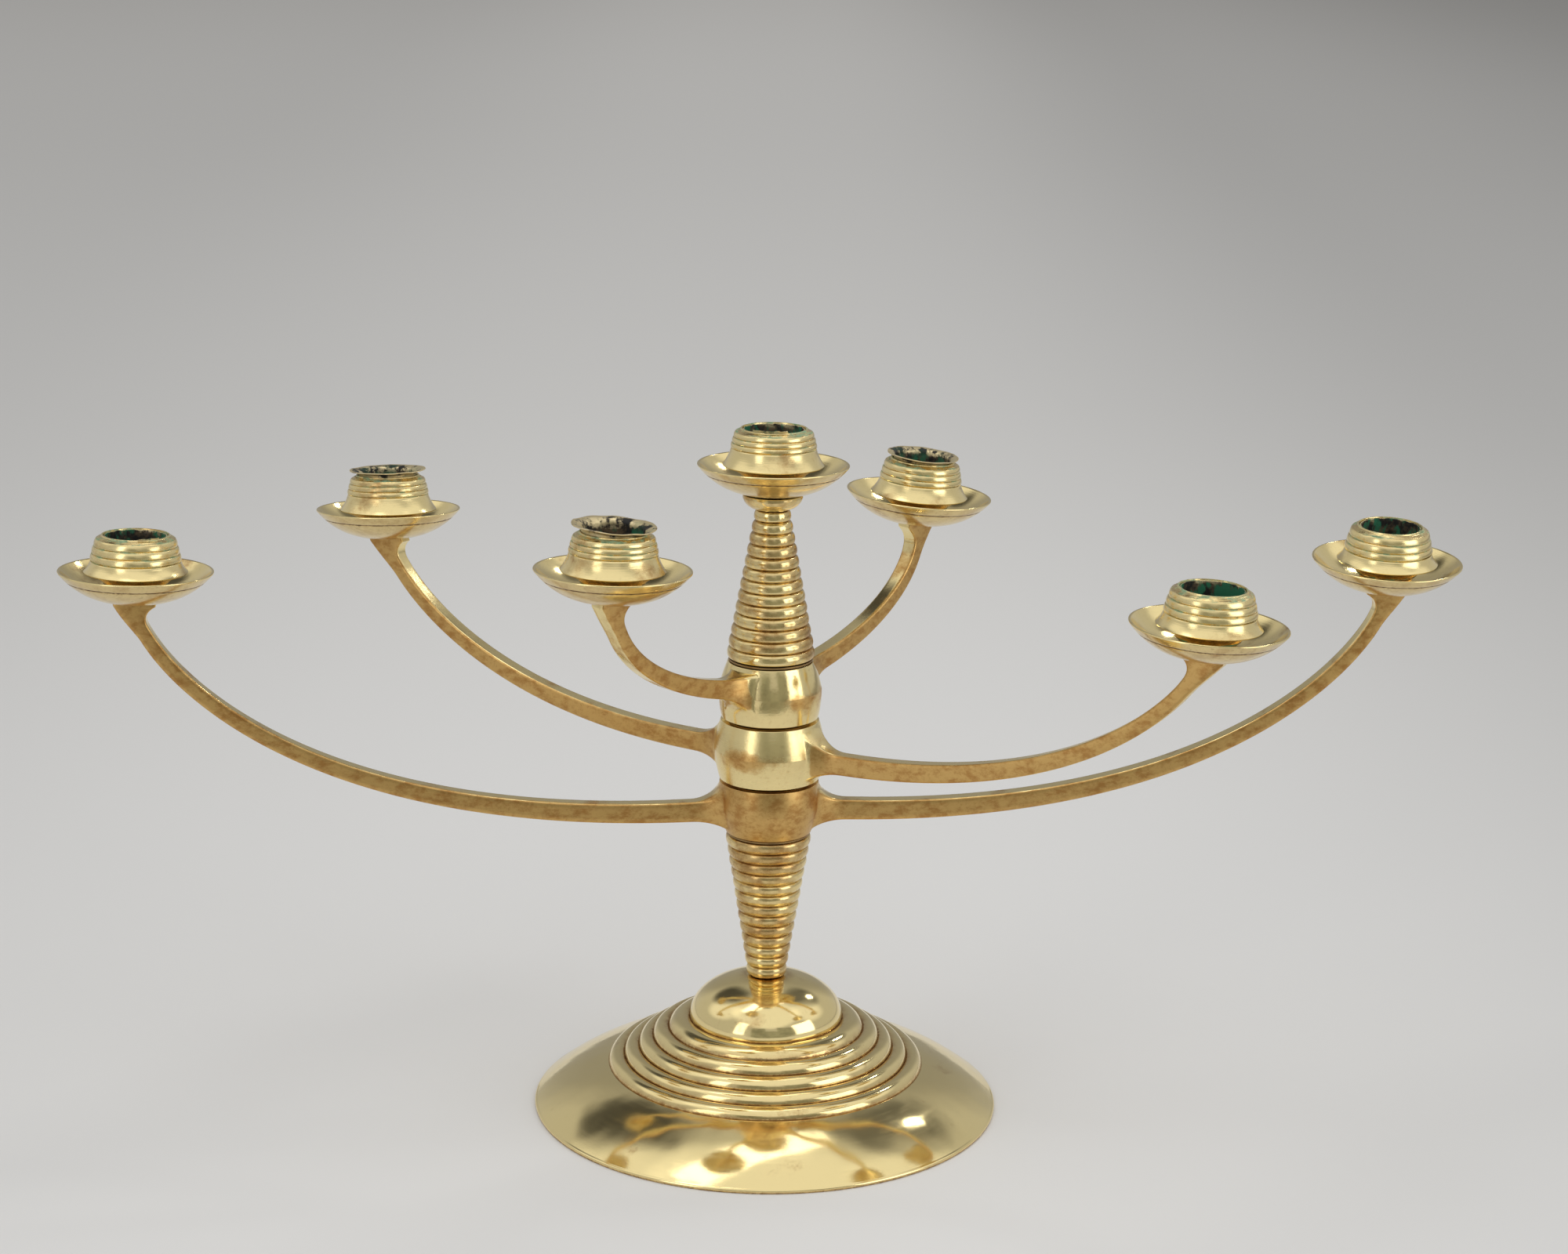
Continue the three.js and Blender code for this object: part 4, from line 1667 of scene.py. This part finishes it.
@dataclass
class Studio:
    """The pale floor, the soft light and the camera. Lengths are in metres."""

    camera_place: tuple[float, float, float] = (0.0, -1.2839, 0.5418)
    camera_down: float = 14.80  # degrees below the horizon
    camera_aside: float = 0.23  # degrees to the right
    camera_roll: float = 0.84
    lens: float = 76.318  # millimetres, on a film 36 wide
    floor_radius: float = 9.0

    def camera(self) -> None:
        """Sets the camera."""
        down, aside = math.radians(self.camera_down), math.radians(self.camera_aside)
        level = math.cos(down)
        ahead = Vector((math.sin(aside) * level, math.cos(aside) * level, -math.sin(down)))
        right = ahead.cross(Vector((0, 0, 1))).normalized()
        axes = Matrix((right, right.cross(ahead), -ahead)).transposed()
        roll = Matrix.Rotation(math.radians(self.camera_roll), 3, "Z")
        data = bpy.data.cameras.new("camera")
        data.lens, data.sensor_width = self.lens, 36.0
        camera = bpy.data.objects.new("camera", data)
        camera.matrix_world = Matrix.Translation(self.camera_place) @ (axes @ roll).to_4x4()
        bpy.context.scene.collection.objects.link(camera)
        bpy.context.scene.camera = camera

    def floor(self) -> None:
        """Lays a round floor with painted light that fades away from the object, and painted shade to
        both sides.
        """
        bm = bmesh.new()
        bmesh.ops.create_circle(bm, cap_ends=True, segments=96, radius=self.floor_radius)
        floor = settle(bm, "floor")
        bench = Bench(bpy.data.materials.new("floor_paper_painted_light"))
        place = bench.place()
        parts = bench.node("SeparateXYZ", {0: place}).outputs
        far = bench.node("VectorMath", {0: place}, operation="LENGTH").outputs["Value"]
        # painted light: the floor's colour falls off with distance from the object, as the studio light
        # would
        tone = bench.mix(bench.span(far, 0.0, 1.6), (0.85, 0.85, 0.85), (0.78, 0.777, 0.77))
        tone = bench.mix(bench.span(far, 1.2, 4.0), tone, (0.70, 0.695, 0.685))
        tone = bench.mix(bench.span(far, 3.5, 8.0), tone, (0.60, 0.59, 0.575))
        # painted shade towards the left and the right
        left = bench.span(parts[0], -0.8, -0.1, 0.12, 0.0)
        right = bench.span(parts[0], 0.05, 0.7, 0.0, 0.22)
        shade = bench.math("ADD", left, right)
        shade = bench.math("ADD", shade, bench.span(parts[0], 0.7, 1.9, 0.0, 0.2))
        tone = bench.mix(shade, tone, (0.0, 0.0, 0.0))
        fibre = bench.noise(place, 700.0, 3.0)
        bench.finish(tone, 0.0, 1.0, bench.bump(fibre, 0.05, 0.0003))
        bench.give("Specular IOR Level", 0.0)
        floor.data.materials.append(bench.owner)

    def surroundings(self) -> None:
        """Lights the scene from all round: brightest overhead, with two dark places high up behind."""
        bench = Bench(bpy.data.worlds.new("studio"))
        bpy.context.scene.world = bench.owner
        view = bench.node("TexCoord", {}).outputs["Generated"]
        # Each glow: the way it lies, how far along that way it begins and ends, and its two strengths.
        glows = [
            ((0.0, -0.35, 0.937), (0.74, 0.86), (0.5, 0.85)),
            ((0.0, 0.94, 0.34), (0.8, 0.95), (0.0, -0.2)),
        ]
        for side, depth in ((-1.0, -0.43), (1.0, -0.36)):
            glows.append(((0.43 * side, 0.495, 0.755), (0.945, 0.988), (0.0, depth)))
            glows.append(((0.7 * side, 0.1, 0.707), (0.9, 0.98), (0.0, 0.35)))
        total: object = 0.0
        for way, reach, strengths in glows:
            along = bench.node("VectorMath", {0: view, 1: way}, operation="DOT_PRODUCT").outputs["Value"]
            glow = bench.span(along, *reach, *strengths)
            total = bench.node("Math", {0: total, 1: glow}, operation="ADD").outputs[0]
        bench.give("Strength", total)
        bench.give("Color", (1.0, 0.992, 0.975))

    def lamp(self, name: str, place: Sequence[float], size: Point, radiance: float) -> None:
        """Hangs a soft box that points at the object.

        Args:
            name: Its name.
            place: Where it hangs.
            size: Its width and height.
            radiance: How bright its face looks.
        """
        data = bpy.data.lights.new(name, "AREA")
        data.shape, data.size, data.size_y = "RECTANGLE", *size
        data.energy = radiance * math.pi * size[0] * size[1]
        data.color = (1.0, 0.99, 0.965)
        lamp = bpy.data.objects.new(name, data)
        aim = Vector((0.0, 0.0, 0.15)) - Vector(place)
        turn = aim.to_track_quat("-Z", "Y").to_matrix().to_4x4()
        lamp.matrix_world = Matrix.Translation(place) @ turn
        lamp.visible_camera = False
        bpy.context.scene.collection.objects.link(lamp)

    def card(self, name: str, low: Sequence[float], high: Sequence[float]) -> None:
        """Stands a dim glowing card, a painted reflection of the room, that only reflections show.

        Args:
            name: Its name.
            low: Its lowest corner.
            high: Its highest corner.
        """
        bm = bmesh.new()
        bmesh.ops.create_cube(bm, size=1.0)
        middle = (Vector(low) + Vector(high)) / 2
        bmesh.ops.scale(bm, verts=bm.verts, vec=Vector(high) - Vector(low))
        bmesh.ops.translate(bm, verts=bm.verts, vec=middle)
        card = settle(bm, name)
        bench = Bench(bpy.data.materials.new(name + "_painted_glow"))
        clouds = bench.noise(bench.place(), 5.0)
        bench.finish((0.0, 0.0, 0.0), 0.0, 1.0, bench.bump(clouds, 0.1, 0.01))
        bench.give("Specular IOR Level", 0.0)
        # the card glows by itself: painted light for the room that the metal reflects
        glow = bench.mix(bench.span(clouds, 0.3, 0.7), (0.22, 0.225, 0.19), (0.34, 0.345, 0.30))
        bench.give("Emission Color", glow)
        bench.give("Emission Strength", 1.0)
        card.data.materials.append(bench.owner)
        card.visible_camera = card.visible_diffuse = card.visible_shadow = False

    def build(self) -> None:
        """Sets up the studio."""
        self.camera()
        self.floor()
        self.surroundings()
        self.lamp("tall_box_right", (1.14, -0.63, 0.43), (0.78, 0.9), 1.7)
        self.lamp("tall_box_left", (-0.84, -1.0, 0.55), (0.36, 1.1), 1.5)
        self.lamp("spot_back_right", (0.82, 0.9, 1.15), (0.11, 0.11), 22.0)
        self.lamp("overhead_box", (-0.12, 0.15, 1.6), (1.25, 0.34), 1.5)
        # glowing cards: painted reflections of the room, a figure on each side and the floor in front
        self.card("room_in_front", (-0.48, -1.17, 0.002), (1.25, -1.15, 0.5))
        self.card("left_figure", (-0.48, -1.15, 0.5), (-0.03, -1.13, 0.76))
        self.card("right_figure", (0.36, -1.15, 0.5), (1.25, -1.13, 0.85))
        self.card("room_floor_far", (-0.4, -1.15, 0.001), (0.8, -0.7, 0.002))
        self.card("room_floor_near", (-0.2, -0.7, 0.001), (0.42, -0.36, 0.002))
        bpy.context.scene.view_settings.view_transform = "Standard"
        log.info("studio: camera, floor and lights")


def main() -> None:
    """Builds the candelabrum and its studio."""
    logging.basicConfig(level=logging.INFO, format="%(message)s")
    Studio().build()
    Foot().build()
    TieRod().build()
    BeadedStem("lower_stem", "beaded_stem_lower", bottom_radius=8.1, top_radius=17.2, seed=1).build()
    BeadedStem(
        "upper_stem", "beaded_stem_upper", bottom_radius=17.7, top_radius=7.35, seed=2, collar=True
    ).build()
    HubWashers().build()
    build_arms()
    build_lights()


if __name__ == "__main__":
    main()
